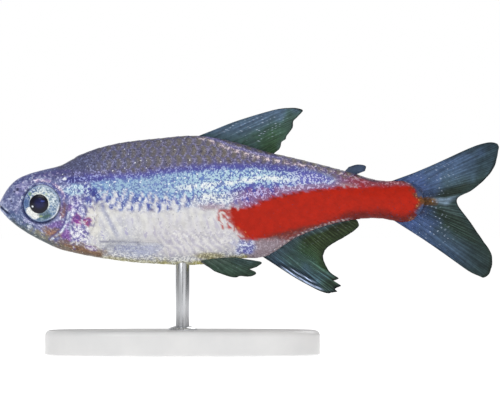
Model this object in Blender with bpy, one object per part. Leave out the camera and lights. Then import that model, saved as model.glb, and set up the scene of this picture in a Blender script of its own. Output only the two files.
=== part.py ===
# Neon tetra at life size, swimming level to the left, on a plain display stand.
# The fish is measured in millimetres from the tip of its snout: x runs back to the tail, y to its
# right and z up. TOTAL_LENGTH and SNOUT_HEIGHT set that frame over the middle of the model's floor.

import math

import bmesh
import bpy
import numpy as np
from mathutils import Vector

MM = 0.001
TOTAL_LENGTH = 40.0
SNOUT_HEIGHT = 12.0
GAP = 0.25

# The body's stations: x, back, belly and half width. They are joined over the square root of x,
# which rounds the snout. From BODY_BLUNT on, the flesh closes in a round wedge at BODY_END.
STATIONS = (
    (0.0, 0.0, 0.0, 0.0),
    (0.25, 0.70, -0.62, 0.64),
    (0.8, 1.60, -1.28, 1.06),
    (1.6, 2.24, -1.92, 1.42),
    (3.3, 2.82, -2.90, 1.86),
    (4.9, 3.24, -3.62, 2.08),
    (6.4, 4.02, -3.94, 2.24),
    (8.8, 4.80, -4.36, 2.38),
    (12.4, 5.30, -4.70, 2.40),
    (16.3, 5.50, -4.74, 2.20),
    (19.2, 4.92, -4.28, 1.98),
    (21.2, 4.30, -4.12, 1.80),
    (23.8, 3.70, -2.55, 1.50),
    (28.0, 2.62, -1.22, 1.12),
    (30.4, 1.96, -1.08, 0.94),
    (32.2, 1.93, -1.40, 0.74),
    (34.0, 1.93, -1.40, 0.56),
)
BODY_BLUNT = 32.0
BODY_END = 34.0
EGG = 0.12
RINGS, RING_SIDES = 64, 28

# The head ends at the gill cover's hind edge, which stands proud of the trunk by GILL_FLARE.
GILL_EDGE = ((5.5, 5.2), (6.5, 3.1), (7.5, 1.3), (7.85, -0.5), (7.4, -2.1), (6.3, -3.3), (5.3, -4.8))
GILL_FLARE = 0.16
CHEEK_RIDGE = ((4.75, 1.55), (5.35, 0.5), (5.5, -0.8), (5.05, -2.0), (4.1, -2.75))
TAIL_STEM_START = 29.4

EYE = (3.35, 0.09)
EYE_RADIUS = 1.50
EYE_DEPTH = 0.72
EYE_STANDS_OUT = 0.14
PUPIL_RADIUS = 0.72
PUPIL_FORWARD = 0.18

MOUTH = ((-0.3, 0.12), (0.0, -0.06), (0.5, -0.52), (1.1, -0.94), (1.65, -1.26))
MOUTH_OPEN = 0.13
LIP_RADIUS = 0.17
NOSTRILS = ((1.16, 1.08), (1.50, 1.36))
NOSTRIL_RADIUS = 0.15

# A fin's rays run from its root to its tip. Each row is a ray's place in the fan, from 0 at the
# leading edge to 1, then x and z. Roots lie inside the body and are cut back to its surface.
FIN_ROOT_HALF, FIN_TIP_HALF = 0.26, 0.12
RAY_RISE = 0.10
RAY_SHARE = 0.24
FIN_ROWS = 6
DORSAL_FIN = {
    "rays": 11,
    "root": ((0.0, 16.35, 5.0), (0.5, 19.0, 4.4), (1.0, 21.6, 3.6)),
    "tip": (
        (0.0, 17.5, 6.2),
        (0.04, 19.2, 6.95),
        (0.1, 21.6, 7.56),
        (0.2, 23.4, 7.80),
        (0.3, 24.25, 7.60),
        (0.5, 23.55, 6.5),
        (0.75, 22.9, 5.4),
        (1.0, 22.0, 4.25),
    ),
}
ANAL_FIN = {
    "rays": 20,
    "root": ((0.0, 21.3, -3.7), (0.4, 23.4, -2.3), (1.0, 27.9, -0.8)),
    "tip": (
        (0.0, 22.3, -4.9),
        (0.04, 23.6, -5.75),
        (0.09, 25.0, -6.62),
        (0.16, 26.25, -7.08),
        (0.24, 27.25, -6.90),
        (0.34, 27.0, -6.0),
        (0.44, 26.3, -5.2),
        (0.54, 25.9, -4.4),
        (0.64, 26.1, -3.65),
        (0.78, 27.1, -2.9),
        (0.9, 28.3, -2.2),
        (1.0, 28.62, -1.55),
    ),
    "nicks": (4, 6),
}
TAIL_FIN_UPPER = {
    "rays": 12,
    "root": ((0.0, 31.4, 1.6), (0.4, 32.6, 1.1), (1.0, 33.2, 0.40)),
    "tip": (
        (0.0, 34.4, 3.04),
        (0.1, 36.9, 4.26),
        (0.2, 38.6, 4.93),
        (0.3, 39.5, 5.02),
        (0.4, 39.97, 4.5),
        (0.55, 39.65, 3.3),
        (0.7, 38.9, 2.15),
        (0.85, 37.8, 1.15),
        (1.0, 36.6, 0.42),
    ),
}
TAIL_FIN_LOWER = {
    "rays": 12,
    "root": ((0.0, 31.4, -1.1), (0.4, 32.6, -0.6), (1.0, 33.2, 0.10)),
    "tip": (
        (0.0, 34.5, -3.25),
        (0.1, 36.8, -4.88),
        (0.2, 38.1, -5.60),
        (0.3, 38.85, -5.78),
        (0.42, 39.35, -5.1),
        (0.55, 39.35, -3.95),
        (0.7, 38.6, -2.75),
        (0.85, 37.6, -1.4),
        (1.0, 36.6, 0.05),
    ),
}
ADIPOSE_FIN = {
    "rays": 0,
    "root": ((0.0, 27.3, 2.3), (1.0, 28.4, 1.9)),
    "tip": ((0.0, 27.9, 3.05), (0.35, 28.6, 3.24), (0.7, 29.15, 3.10), (1.0, 29.25, 2.78)),
}
# A paired fin adds its distance from the midline: at the root, what the ray's length adds, and
# what the trailing edge takes away.
PELVIC_FIN = {
    "rays": 8,
    "root": ((0.0, 16.2, -4.4), (1.0, 17.6, -3.85)),
    "tip": (
        (0.0, 18.2, -5.6),
        (0.2, 19.4, -5.78),
        (0.4, 20.4, -5.65),
        (0.6, 20.5, -5.12),
        (0.8, 20.95, -4.56),
        (1.0, 19.3, -4.06),
    ),
    "nicks": (3,),
    "from_middle": 0.75,
    "spread": 0.75,
    "trailing_in": 0.28,
}
PECTORAL_FIN = {
    "rays": 9,
    "root": ((0.0, 7.95, -2.75), (1.0, 8.05, -3.45)),
    "tip": (
        (0.0, 12.7, -3.00),
        (0.2, 13.2, -3.25),
        (0.45, 12.8, -3.68),
        (0.7, 12.0, -4.02),
        (1.0, 10.6, -4.12),
    ),
    "from_middle": 1.22,
    "spread": 1.35,
    "trailing_in": 0.20,
}

BASE_LENGTH, BASE_WIDTH, BASE_HEIGHT = 22.0, 13.0, 2.0
BASE_SQUARENESS = 2.6
BASE_CHAMFER = 0.35
BASE_SIDES = 48
ROD_PLACE = 14.6
ROD_RADIUS = 0.55
ROD_SIDES = 20
ROD_IN_BODY, ROD_IN_BASE = 1.5, 1.3

SKIN_BACK = (0.22, 0.20, 0.34)
SKIN_RED = (0.70, 0.03, 0.02)
SKIN_SILVER = (0.62, 0.66, 0.80)
FIN_SLATE = (0.07, 0.13, 0.17)


# Curves and the body's surface
def eased(places, values, at):
    """Values joined by a smooth curve through all of them, read at the given places."""
    places = np.asarray(places, float)
    values = np.asarray(values, float)
    slopes = np.gradient(values, places)
    i = np.clip(np.searchsorted(places, at, side="right") - 1, 0, len(places) - 2)
    span = places[i + 1] - places[i]
    t = np.clip((at - places[i]) / span, 0.0, 1.0)
    return (
        values[i] * (1 + 2 * t) * (1 - t) ** 2
        + values[i + 1] * t * t * (3 - 2 * t)
        + span * t * (1 - t) * (slopes[i] * (1 - t) - slopes[i + 1] * t)
    )


def section(x, grown=0.0):
    """Half width, half height and middle height of the body at x, grown outwards by a skin's depth."""
    root = math.sqrt(max(x, 0.0))
    roots = [math.sqrt(station[0]) for station in STATIONS]
    back, belly, half = (
        float(eased(roots, [station[k] for station in STATIONS], root)) for k in (1, 2, 3)
    )
    middle, tall = (back + belly) / 2, (back - belly) / 2
    if x > BODY_BLUNT:
        share = min((x - BODY_BLUNT) / (BODY_END + grown - BODY_BLUNT), 1.0)
        return half + grown, (tall + grown) * math.sqrt(1 - share * share), middle
    return half + grown, tall + grown, middle


def gill_flare(x, z):
    """How far the gill cover stands out over the trunk's own line."""
    rise = np.clip((x - 5.2) / 2.0, 0.0, 1.0)
    band = math.exp(-(((z + 0.6) / 2.3) ** 2))
    return GILL_FLARE * rise * rise * (3 - 2 * rise) * band


def half_width_at(x, z, flared=False):
    """Distance from the midline to the skin at x and z, 0 outside the body's outline."""
    half, tall, middle = section(x)
    up = max(-1.0, min(1.0, (z - middle) / max(tall, 1e-6)))
    width = half * math.sqrt(1 - up * up) * (1 + EGG * up)
    return width + (gill_flare(x, z) if flared else 0.0)


def at_fish(point):
    """A point of the fish, in millimetres, in the stand's frame."""
    x, y, z = point
    return Vector(((x - TOTAL_LENGTH / 2) * MM, y * MM, (z + SNOUT_HEIGHT) * MM))


# Meshes and Booleans
def object_from(name, points, faces):
    mesh = bpy.data.meshes.new(name)
    mesh.from_pydata([at_fish(p) for p in points], [], faces)
    shape = bmesh.new()
    shape.from_mesh(mesh)
    bmesh.ops.recalc_face_normals(shape, faces=shape.faces)
    shape.to_mesh(mesh)
    shape.free()
    made = bpy.data.objects.new(name, mesh)
    bpy.context.scene.collection.objects.link(made)
    return made


def apply_modifiers(shape):
    graph = bpy.context.evaluated_depsgraph_get()
    mesh = bpy.data.meshes.new_from_object(shape.evaluated_get(graph))
    shape.modifiers.clear()
    shape.data = mesh


def combine(shape, others, operation):
    """One Boolean of shape with a collection of closed meshes, which are then removed."""
    group = bpy.data.collections.new(shape.name + "_tools")
    bpy.context.scene.collection.children.link(group)
    for other in others:
        for owner in list(other.users_collection):
            owner.objects.unlink(other)
        group.objects.link(other)
        other.hide_render = True
        other.display_type = "WIRE"
    modifier = shape.modifiers.new(operation.title(), "BOOLEAN")
    modifier.operation = operation
    modifier.operand_type = "COLLECTION"
    modifier.collection = group
    modifier.solver = "EXACT"
    apply_modifiers(shape)
    for other in others:
        bpy.data.objects.remove(other)
    bpy.data.collections.remove(group)
    keep_largest(shape)


def keep_largest(shape):
    """Drops every closed surface but the largest, which a cut can leave as scraps."""
    mesh = bmesh.new()
    mesh.from_mesh(shape.data)
    bmesh.ops.triangulate(mesh, faces=mesh.faces)
    left, islands = set(mesh.faces), []
    while left:
        island, edge_of = set(), [left.pop()]
        while edge_of:
            face = edge_of.pop()
            island.add(face)
            for edge in face.edges:
                for other in edge.link_faces:
                    if other in left:
                        left.discard(other)
                        edge_of.append(other)
        volume = sum(f.verts[0].co.dot(f.verts[1].co.cross(f.verts[2].co)) for f in island)
        islands.append((abs(volume), island))
    islands.sort(key=lambda pair: pair[0])
    scraps = [face for _, island in islands[:-1] for face in island]
    bmesh.ops.delete(mesh, geom=scraps, context="FACES")
    loose = [v for v in mesh.verts if not v.link_faces]
    bmesh.ops.delete(mesh, geom=loose, context="VERTS")
    mesh.to_mesh(shape.data)
    mesh.free()


def finish(shape, name, colour, roughness, metallic=0.0, smooth_angle=38.0):
    """Names a node, gives it its material and shades its round faces smooth."""
    shape.name = name
    material = bpy.data.materials.new(name)
    material.use_nodes = True
    shader = material.node_tree.nodes["Principled BSDF"]
    shader.inputs["Base Color"].default_value = (*colour, 1.0)
    shader.inputs["Roughness"].default_value = roughness
    shader.inputs["Metallic"].default_value = metallic
    shape.data.materials.clear()
    shape.data.materials.append(material)
    shape.data.shade_smooth()
    shape.data.set_sharp_from_angle(angle=math.radians(smooth_angle))
    return shape


def prism(outline, half_depth):
    """A closed outline in x and z, drawn out to both sides of the midline."""
    n = len(outline)
    points = [(x, side * half_depth, z) for side in (-1, 1) for x, z in outline]
    faces = [tuple(range(n)), tuple(range(2 * n - 1, n - 1, -1))]
    faces += [(i, (i + 1) % n, n + (i + 1) % n, n + i) for i in range(n)]
    return object_from("prism", points, faces)


def ellipsoid(centre, radii, rings, sides):
    """A ball with its poles on the y axis."""
    points = [(centre[0], centre[1] - radii[1], centre[2])]
    for i in range(1, rings):
        turn = math.pi * i / rings
        for k in range(sides):
            around = 2 * math.pi * k / sides
            across = math.sin(turn)
            points.append(
                (
                    centre[0] + radii[0] * across * math.cos(around),
                    centre[1] - radii[1] * math.cos(turn),
                    centre[2] + radii[2] * across * math.sin(around),
                )
            )
    points.append((centre[0], centre[1] + radii[1], centre[2]))
    return object_from("ball", points, ring_faces(rings - 1, sides, len(points)))


def ring_faces(rings, sides, count):
    """Faces of a closed shape: a first pole, rings of points, and a last pole."""
    faces = [(0, 1 + (k + 1) % sides, 1 + k) for k in range(sides)]
    for i in range(rings - 1):
        here, after = 1 + i * sides, 1 + (i + 1) * sides
        faces += [
            (here + k, here + (k + 1) % sides, after + (k + 1) % sides, after + k)
            for k in range(sides)
        ]
    last = 1 + (rings - 1) * sides
    faces += [(last + k, last + (k + 1) % sides, count - 1) for k in range(sides)]
    return faces


def tube(path, radii, sides=6):
    """A closed tapering tube along a path of points."""
    path = [np.array(p, float) for p in path]
    points = [tuple(path[0])]
    for i, (place, radius) in enumerate(zip(path, radii)):
        ahead = path[min(i + 1, len(path) - 1)] - path[max(i - 1, 0)]
        ahead = ahead / np.linalg.norm(ahead)
        side = np.cross(ahead, (0.0, 0.31, 1.0))
        side = side / np.linalg.norm(side)
        up = np.cross(side, ahead)
        for k in range(sides):
            around = 2 * math.pi * k / sides
            points.append(tuple(place + radius * (math.cos(around) * side + math.sin(around) * up)))
    points.append(tuple(path[-1]))
    return object_from("tube", points, ring_faces(len(path), sides, len(points)))


# The body
def body(grown=0.0, flared=False):
    """The whole body from snout to tail root. Rings are closest at its two ends."""
    end = BODY_END + grown
    points = [(0.0, 0.0, 0.0)]
    for i in range(1, RINGS):
        x = end * (1 - math.cos(math.pi * i / RINGS)) / 2
        half, tall, middle = section(x, grown)
        for k in range(RING_SIDES):
            turn = 2 * math.pi * k / RING_SIDES
            across = half * math.sin(turn) * (1 + EGG * math.cos(turn))
            z = middle + tall * math.cos(turn)
            if flared and abs(across) > 0.01:
                across += math.copysign(gill_flare(x, z) * abs(math.sin(turn)), across)
            points.append((x, across, z))
    points.append((end, 0.0, section(end, grown)[2]))
    return object_from("body", points, ring_faces(RINGS - 1, RING_SIDES, len(points)))


def smooth_line(points, count):
    """A smooth line through points in x and z, in even steps of its own length."""
    points = np.array(points, float)
    steps = np.r_[0.0, np.cumsum(np.linalg.norm(np.diff(points, axis=0), axis=1))]
    at = np.linspace(0.0, steps[-1], count)
    return list(zip(eased(steps, points[:, 0], at), eased(steps, points[:, 1], at)))


def on_skin(line, side, sunk, flared=False):
    """Points of a line in x and z, laid on one side of the body."""
    return [(x, side * max(half_width_at(x, z, flared) - sunk, 0.0), z) for x, z in line]


def lip(rise):
    """A bead along one edge of the mouth, from its right corner round the snout to the left."""
    line = [(x, z + rise) for x, z in smooth_line(MOUTH[1:], 9)]
    left = on_skin(line, -1, 0.07)
    right = on_skin(line, 1, 0.07)
    front = (0.10, 0.0, line[0][1])
    path = left[:0:-1] + [front] + right[1:]
    half = len(path) // 2
    radii = [LIP_RADIUS * (0.45 + 0.55 * min(i, len(path) - 1 - i) / half) for i in range(len(path))]
    return tube(path, radii)


def mouth_slit():
    upper = [(x, z + MOUTH_OPEN / 2) for x, z in smooth_line(MOUTH, 9)]
    lower = [(x, z - MOUTH_OPEN / 2) for x, z in smooth_line(MOUTH, 9)]
    corner = (MOUTH[-1][0] + 0.15, MOUTH[-1][1] - 0.08)
    return prism(upper[:-1] + [corner] + lower[-2::-1], 2.5)


def cheek_ridge(side):
    line = smooth_line(CHEEK_RIDGE, 10)
    radii = [0.06 + 0.09 * math.sin(math.pi * i / 9) for i in range(10)]
    return tube(on_skin(line, side, 0.05, True), radii)


def nostril(place, side):
    x, z = place
    across = side * half_width_at(x, z)
    radii = (NOSTRIL_RADIUS, 0.2, NOSTRIL_RADIUS)
    return ellipsoid((x, across, z), radii, 5, 8)


def eye_centre(side):
    x, z = EYE
    return (x, side * (half_width_at(x, z) + EYE_STANDS_OUT - EYE_DEPTH), z)


def eye_socket(side):
    radii = (EYE_RADIUS + GAP, EYE_DEPTH + GAP, EYE_RADIUS + GAP)
    return ellipsoid(eye_centre(side), radii, 12, 28)


def make_head():
    head = body(flared=True)
    front = [(-2.0, -6.0)] + [(-2.0, 6.5)] + smooth_line(GILL_EDGE, 16)
    combine(head, [prism(front, 4.0)], "INTERSECT")
    combine(head, [lip(0.17), lip(-0.19), cheek_ridge(-1), cheek_ridge(1)], "UNION")
    pits = [nostril(place, side) for place in NOSTRILS for side in (-1, 1)]
    combine(head, [mouth_slit(), eye_socket(-1), eye_socket(1)] + pits, "DIFFERENCE")
    return finish(head, "head", SKIN_BACK, 0.35)


def make_eye(name, side):
    """An eyeball with the lens raised a little in its middle."""
    centre = eye_centre(side)
    eye = ellipsoid(centre, (EYE_RADIUS, EYE_DEPTH, EYE_RADIUS), 12, 28)
    lens_centre = (centre[0] - PUPIL_FORWARD, centre[1] + side * 0.28, centre[2])
    lens = ellipsoid(lens_centre, (PUPIL_RADIUS, 0.50, PUPIL_RADIUS), 8, 20)
    combine(eye, [lens], "UNION")
    return finish(eye, name, (0.35, 0.55, 0.60), 0.12)


def rod_hole(radius):
    top = SOCKET_TOP + GAP
    bottom = -8.0
    return upright("hole", radius, bottom, top)


def upright(name, radius, low, high):
    """A round pillar at the rod's place."""
    ring = [
        (math.cos(2 * math.pi * k / ROD_SIDES) * radius, math.sin(2 * math.pi * k / ROD_SIDES) * radius)
        for k in range(ROD_SIDES)
    ]
    points = [(ROD_PLACE + a, b, z) for z in (low, high) for a, b in ring]
    n = ROD_SIDES
    faces = [tuple(range(n)), tuple(range(2 * n - 1, n - 1, -1))]
    faces += [(k, (k + 1) % n, n + (k + 1) % n, n + k) for k in range(n)]
    return object_from(name, points, faces)


def make_trunk():
    trunk = body()
    gill = [(x + GAP * 1.15, z) for x, z in smooth_line(GILL_EDGE, 16)]
    rear = [(TAIL_STEM_START, -6.0), (TAIL_STEM_START, 6.5)]
    combine(trunk, [prism(gill + rear, 4.0)], "INTERSECT")
    combine(trunk, [rod_hole(ROD_RADIUS + GAP)], "DIFFERENCE")
    return finish(trunk, "trunk", SKIN_SILVER, 0.30)


def make_tail_stem():
    stem = body()
    start = TAIL_STEM_START + GAP
    rear = [(start, -6.0), (start, 6.5), (TOTAL_LENGTH, 6.5), (TOTAL_LENGTH, -6.0)]
    combine(stem, [prism(rear, 4.0)], "INTERSECT")
    return finish(stem, "tail_stem", SKIN_RED, 0.30)


# Fins
def fin_columns(rays):
    """Where the blade's columns stand in the fan, and how high each is on its ray's ridge."""
    if not rays:
        return [(k / 6, 0.0) for k in range(7)]
    pitch = 1.0 / (rays - 1)
    columns = []
    for i in range(rays):
        for step, rise in ((-RAY_SHARE, 0.0), (0.0, 1.0), (RAY_SHARE, 0.0)):
            place = (i + step) * pitch
            if 0.0 <= place <= 1.0:
                columns.append((place, rise))
    return columns


def fin(form, side=0):
    """A blade of membrane with its rays as ridges on both faces, split alike on both."""
    rays = form["rays"]
    columns = fin_columns(rays)
    root = np.array(form["root"], float)
    tip = np.array(form["tip"], float)
    grid = np.zeros((len(columns), FIN_ROWS + 1, 3))
    half = np.zeros((len(columns), FIN_ROWS + 1))
    for c, (place, rise) in enumerate(columns):
        base = np.array([np.interp(place, root[:, 0], root[:, k]) for k in (1, 2)])
        end = np.array([float(eased(tip[:, 0], tip[:, k], place)) for k in (1, 2)])
        nearest = round(place * (rays - 1)) if rays else -1
        reach = 0.93 if nearest in form.get("nicks", ()) else 1.0
        reach -= 0.0 if rise or not rays else 0.015
        for r in range(FIN_ROWS + 1):
            along = r / FIN_ROWS
            x, z = base + (end - base) * along * reach
            across = 0.0
            if side:
                bend = 1 - (1 - along) ** 2
                across = form["from_middle"] + form["spread"] * bend - form["trailing_in"] * place
            grid[c, r] = (x, side * across, z)
            thick = FIN_ROOT_HALF + (FIN_TIP_HALF - FIN_ROOT_HALF) * max(0.0, along - 0.55) / 0.45
            half[c, r] = thick + rise * RAY_RISE * (1 - 0.6 * along)
    return blade(grid, half, bool(side))


def blade(grid, half, tilted):
    """The closed solid that lies half thick on each side of a grid of points."""
    normal = np.array((0.0, 1.0, 0.0))
    if tilted:
        normal = np.cross(np.gradient(grid, axis=1), np.gradient(grid, axis=0)).mean(axis=(0, 1))
        normal /= np.linalg.norm(normal)
    wide, long = grid.shape[:2]
    faces_of = [grid + normal * half[..., None], grid - normal * half[..., None]]
    points = [tuple(p) for layer in faces_of for p in layer.reshape(-1, 3)]
    under = wide * long

    def at(c, r):
        return c * long + r

    faces = []
    for c in range(wide - 1):
        for r in range(long - 1):
            a, b, d, e = at(c, r), at(c, r + 1), at(c + 1, r + 1), at(c + 1, r)
            faces += [(a, b, d), (a, d, e)]
            faces += [(a + under, d + under, b + under), (a + under, e + under, d + under)]
    rim = [at(c, 0) for c in range(wide)]
    rim += [at(wide - 1, r) for r in range(1, long)]
    rim += [at(c, long - 1) for c in range(wide - 2, -1, -1)]
    rim += [at(0, r) for r in range(long - 2, 0, -1)]
    for a, b in zip(rim, rim[1:] + rim[:1]):
        faces += [(a, b, b + under), (a, b + under, a + under)]
    return object_from("blade", points, faces)


def make_fin(name, form, side=0):
    """A fin cut back to a thin gap over the body that it grows from."""
    made = fin(form, side)
    combine(made, [body(grown=GAP)], "DIFFERENCE")
    return finish(made, name, FIN_SLATE, 0.45)


# The stand
def make_rod():
    rod = upright("stand_rod", ROD_RADIUS, ROD_BOTTOM, SOCKET_TOP)
    return finish(rod, "stand_rod", (0.60, 0.61, 0.63), 0.25, 1.0)


def make_base():
    """A low oval block with a chamfered top edge and a blind hole for the rod."""
    levels = ((0.0, 0.0), (BASE_HEIGHT - BASE_CHAMFER, 0.0), (BASE_HEIGHT, BASE_CHAMFER))
    n = BASE_SIDES
    points = []
    for height, inset in levels:
        for k in range(n):
            turn = 2 * math.pi * k / n
            reach = (
                abs(math.cos(turn)) ** BASE_SQUARENESS + abs(math.sin(turn)) ** BASE_SQUARENESS
            ) ** (-1 / BASE_SQUARENESS)
            x = ROD_PLACE + (BASE_LENGTH / 2 - inset) * reach * math.cos(turn)
            y = (BASE_WIDTH / 2 - inset) * reach * math.sin(turn)
            points.append((x, y, height - SNOUT_HEIGHT))
    faces = [tuple(range(n)), tuple(range(3 * n - 1, 2 * n - 1, -1))]
    for level in (0, n):
        faces += [
            (level + k, level + (k + 1) % n, level + n + (k + 1) % n, level + n + k) for k in range(n)
        ]
    base = object_from("stand_base", points, faces)
    hole = upright("hole", ROD_RADIUS + GAP, ROD_BOTTOM - GAP, ROD_BOTTOM + 6.0)
    combine(base, [hole], "DIFFERENCE")
    return finish(base, "stand_base", (0.80, 0.79, 0.77), 0.4)


def belly_at(x):
    half, tall, middle = section(x)
    return middle - tall


SOCKET_TOP = belly_at(ROD_PLACE) + ROD_IN_BODY
ROD_BOTTOM = BASE_HEIGHT - SNOUT_HEIGHT - ROD_IN_BASE

for leftover in list(bpy.data.objects):
    bpy.data.objects.remove(leftover)

make_head()
make_eye("eye_left", -1)
make_eye("eye_right", 1)
make_trunk()
make_tail_stem()
make_fin("dorsal_fin", DORSAL_FIN)
make_fin("adipose_fin", ADIPOSE_FIN)
make_fin("tail_fin_upper", TAIL_FIN_UPPER)
make_fin("tail_fin_lower", TAIL_FIN_LOWER)
make_fin("anal_fin", ANAL_FIN)
for word, side in (("left", -1), ("right", 1)):
    make_fin("pelvic_fin_" + word, PELVIC_FIN, side)
    make_fin("pectoral_fin_" + word, PECTORAL_FIN, side)
make_rod()
make_base()
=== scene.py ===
import math
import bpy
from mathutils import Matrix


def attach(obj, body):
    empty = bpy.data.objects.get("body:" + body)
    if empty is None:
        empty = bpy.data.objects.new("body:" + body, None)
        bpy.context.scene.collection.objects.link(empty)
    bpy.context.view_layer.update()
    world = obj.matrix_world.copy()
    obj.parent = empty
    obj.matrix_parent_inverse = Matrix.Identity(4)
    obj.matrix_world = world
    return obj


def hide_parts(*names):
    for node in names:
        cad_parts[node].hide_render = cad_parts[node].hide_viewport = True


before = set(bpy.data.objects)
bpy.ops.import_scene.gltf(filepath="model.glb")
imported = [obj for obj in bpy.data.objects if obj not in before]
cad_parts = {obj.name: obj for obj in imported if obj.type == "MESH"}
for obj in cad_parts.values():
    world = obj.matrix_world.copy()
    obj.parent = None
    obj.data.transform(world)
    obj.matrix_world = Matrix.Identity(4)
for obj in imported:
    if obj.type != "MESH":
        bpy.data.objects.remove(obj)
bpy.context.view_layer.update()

from types import SimpleNamespace

import bpy
import numpy as np
from mathutils import Vector

# The fish is drawn in millimetres from the tip of its snout: x back, y to its right, z up.
place = {"snoutToMiddle": 20.0, "snoutHeight": 12.0}
body = {
    "stations": (  # x, back, belly, half width
        (0.0, 0.0, 0.0, 0.0),
        (0.25, 0.70, -0.62, 0.64),
        (0.8, 1.60, -1.28, 1.06),
        (1.6, 2.24, -1.92, 1.42),
        (3.3, 2.82, -2.90, 1.86),
        (4.9, 3.24, -3.62, 2.08),
        (6.4, 4.02, -3.94, 2.24),
        (8.8, 4.80, -4.36, 2.38),
        (12.4, 5.30, -4.70, 2.40),
        (16.3, 5.50, -4.74, 2.20),
        (19.2, 4.92, -4.28, 1.98),
        (21.2, 4.30, -4.12, 1.80),
        (23.8, 3.70, -2.55, 1.50),
        (28.0, 2.62, -1.22, 1.12),
        (30.4, 1.96, -1.08, 0.94),
        (32.2, 1.93, -1.40, 0.74),
        (34.0, 1.93, -1.40, 0.56),
    ),
    "bluntFrom": 32.0,
    "end": 34.0,
    "egg": 0.12,  # how much wider it is above than below
}


# Curves, noise and the body's surface
def eased(places, values, at):
    places, values = np.asarray(places, float), np.asarray(values, float)
    slopes = np.gradient(values, places)
    i = np.clip(np.searchsorted(places, at, side="right") - 1, 0, len(places) - 2)
    span = places[i + 1] - places[i]
    t = np.clip((at - places[i]) / span, 0.0, 1.0)
    bend = span * t * (1 - t) * (slopes[i] * (1 - t) - slopes[i + 1] * t)
    return values[i] * (1 + 2 * t) * (1 - t) ** 2 + values[i + 1] * t * t * (3 - 2 * t) + bend


def smooth(low, high, value):
    t = np.clip((np.asarray(value, float) - low) / (high - low), 0.0, 1.0)
    return t * t * (3 - 2 * t)


# Rises from the first place to the second and falls from the third to the last.
def within(value, start, rise, fall, stop):
    return smooth(start, rise, value) * smooth(stop, fall, value)


# 1 as far as the narrow distance on both sides of zero, then falling to 0 at the wide one.
def near(value, narrow, wide):
    return smooth(wide, narrow, np.abs(value))


def bell(value, middle, width):
    return np.exp(-(((value - middle) / width) ** 2))


# Distance from a middle, measured in an ellipse's two reaches, which may be turned.
def oval(dx, dz, rx, rz, degrees=0.0):
    c, s = math.cos(math.radians(degrees)), math.sin(math.radians(degrees))
    return np.hypot((dx * c + dz * s) / rx, (dz * c - dx * s) / rz)


# Soft random values from -1 to 1, in patches about size millimetres wide.
def cloud(x, z, size, seed):
    table = np.random.default_rng(seed).random((127, 113)) * 2 - 1
    i, j = np.asarray(x) / size + 40.0, np.asarray(z) / size + 40.0
    i0, j0 = np.floor(i).astype(int), np.floor(j).astype(int)
    a, b = i - i0, j - j0
    a, b = a * a * (3 - 2 * a), b * b * (3 - 2 * b)

    def row(q):
        return table[i0 % 127, q % 113] * (1 - a) + table[(i0 + 1) % 127, q % 113] * a

    return row(j0) * (1 - b) + row(j0 + 1) * b


def bodySection(x, grown=0.0):
    rows = body["stations"]
    root = np.sqrt(np.maximum(x, 0.0))
    roots = [math.sqrt(row[0]) for row in rows]
    back, belly, half = (eased(roots, [row[k] for row in rows], root) for k in (1, 2, 3))
    tall = (back - belly) / 2 + grown
    share = np.clip((x - body["bluntFrom"]) / (body["end"] + grown - body["bluntFrom"]), 0.0, 1.0)
    return half + grown, tall * np.sqrt(1 - share * share), (back + belly) / 2


def bodyShell(x, turn):
    half, tall, middle = bodySection(x)
    up = np.cos(turn)
    return np.stack([x, half * np.sin(turn) * (1 + body["egg"] * up), middle + tall * up], -1)


def shellNormal(x, turn):
    step = 0.03
    along = bodyShell(x + step, turn) - bodyShell(np.maximum(x - step, 0.0), turn)
    around = bodyShell(x, turn + step) - bodyShell(x, turn - step)
    normal = np.cross(around, along)
    normal /= np.maximum(np.linalg.norm(normal, axis=-1, keepdims=True), 1e-9)
    out = np.stack([np.zeros_like(x), np.sin(turn), np.cos(turn)], -1)
    return normal * np.where((normal * out).sum(-1, keepdims=True) < 0, -1.0, 1.0)


def widthAt(x, z):
    half, tall, middle = bodySection(np.asarray(x, float))
    up = np.clip((z - middle) / np.maximum(tall, 1e-6), -1.0, 1.0)
    return half * np.sqrt(1 - up * up) * (1 + body["egg"] * up)


# Distance from a smooth line, its side, plus on its left, and the share of its length.
def fromLine(x, z, points, count=24):
    points = np.array(points, float)
    steps = np.r_[0.0, np.cumsum(np.linalg.norm(np.diff(points, axis=0), axis=1))]
    at = np.linspace(0.0, steps[-1], count)
    line = np.stack([eased(steps, points[:, k], at) for k in (0, 1)], -1)
    best = np.full(np.shape(x), 1e9)
    side, share = np.zeros(np.shape(x)), np.zeros(np.shape(x))
    for i in range(count - 1):
        (ax, az), (bx, bz) = line[i], line[i + 1]
        dx, dz = bx - ax, bz - az
        t = np.clip(((x - ax) * dx + (z - az) * dz) / (dx * dx + dz * dz), 0.0, 1.0)
        far = np.hypot(x - ax - t * dx, z - az - t * dz)
        nearer = far < best
        best = np.where(nearer, far, best)
        side = np.where(nearer, np.sign(dx * (z - az) - dz * (x - ax)), side)
        share = np.where(nearer, (i + t) / (count - 1), share)
    return best, side, share


# A named sRGB tone as linear red, green and blue.
def tone(code):
    parts = np.array([int(code[k : k + 2], 16) / 255 for k in (1, 3, 5)])
    return np.where(parts <= 0.04045, parts / 12.92, ((parts + 0.055) / 1.055) ** 2.4)


# Meshes
# Quads of a grid of points stored row by row, closed round its columns or open.
def gridFaces(rows, columns, closed):
    i, k = np.meshgrid(np.arange(rows - 1), np.arange(columns if closed else columns - 1), indexing="ij")
    nextK = (k + 1) % columns
    quads = (i * columns + k, i * columns + nextK, (i + 1) * columns + nextK, (i + 1) * columns + k)
    return np.stack(quads, -1).reshape(-1, 4)


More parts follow.
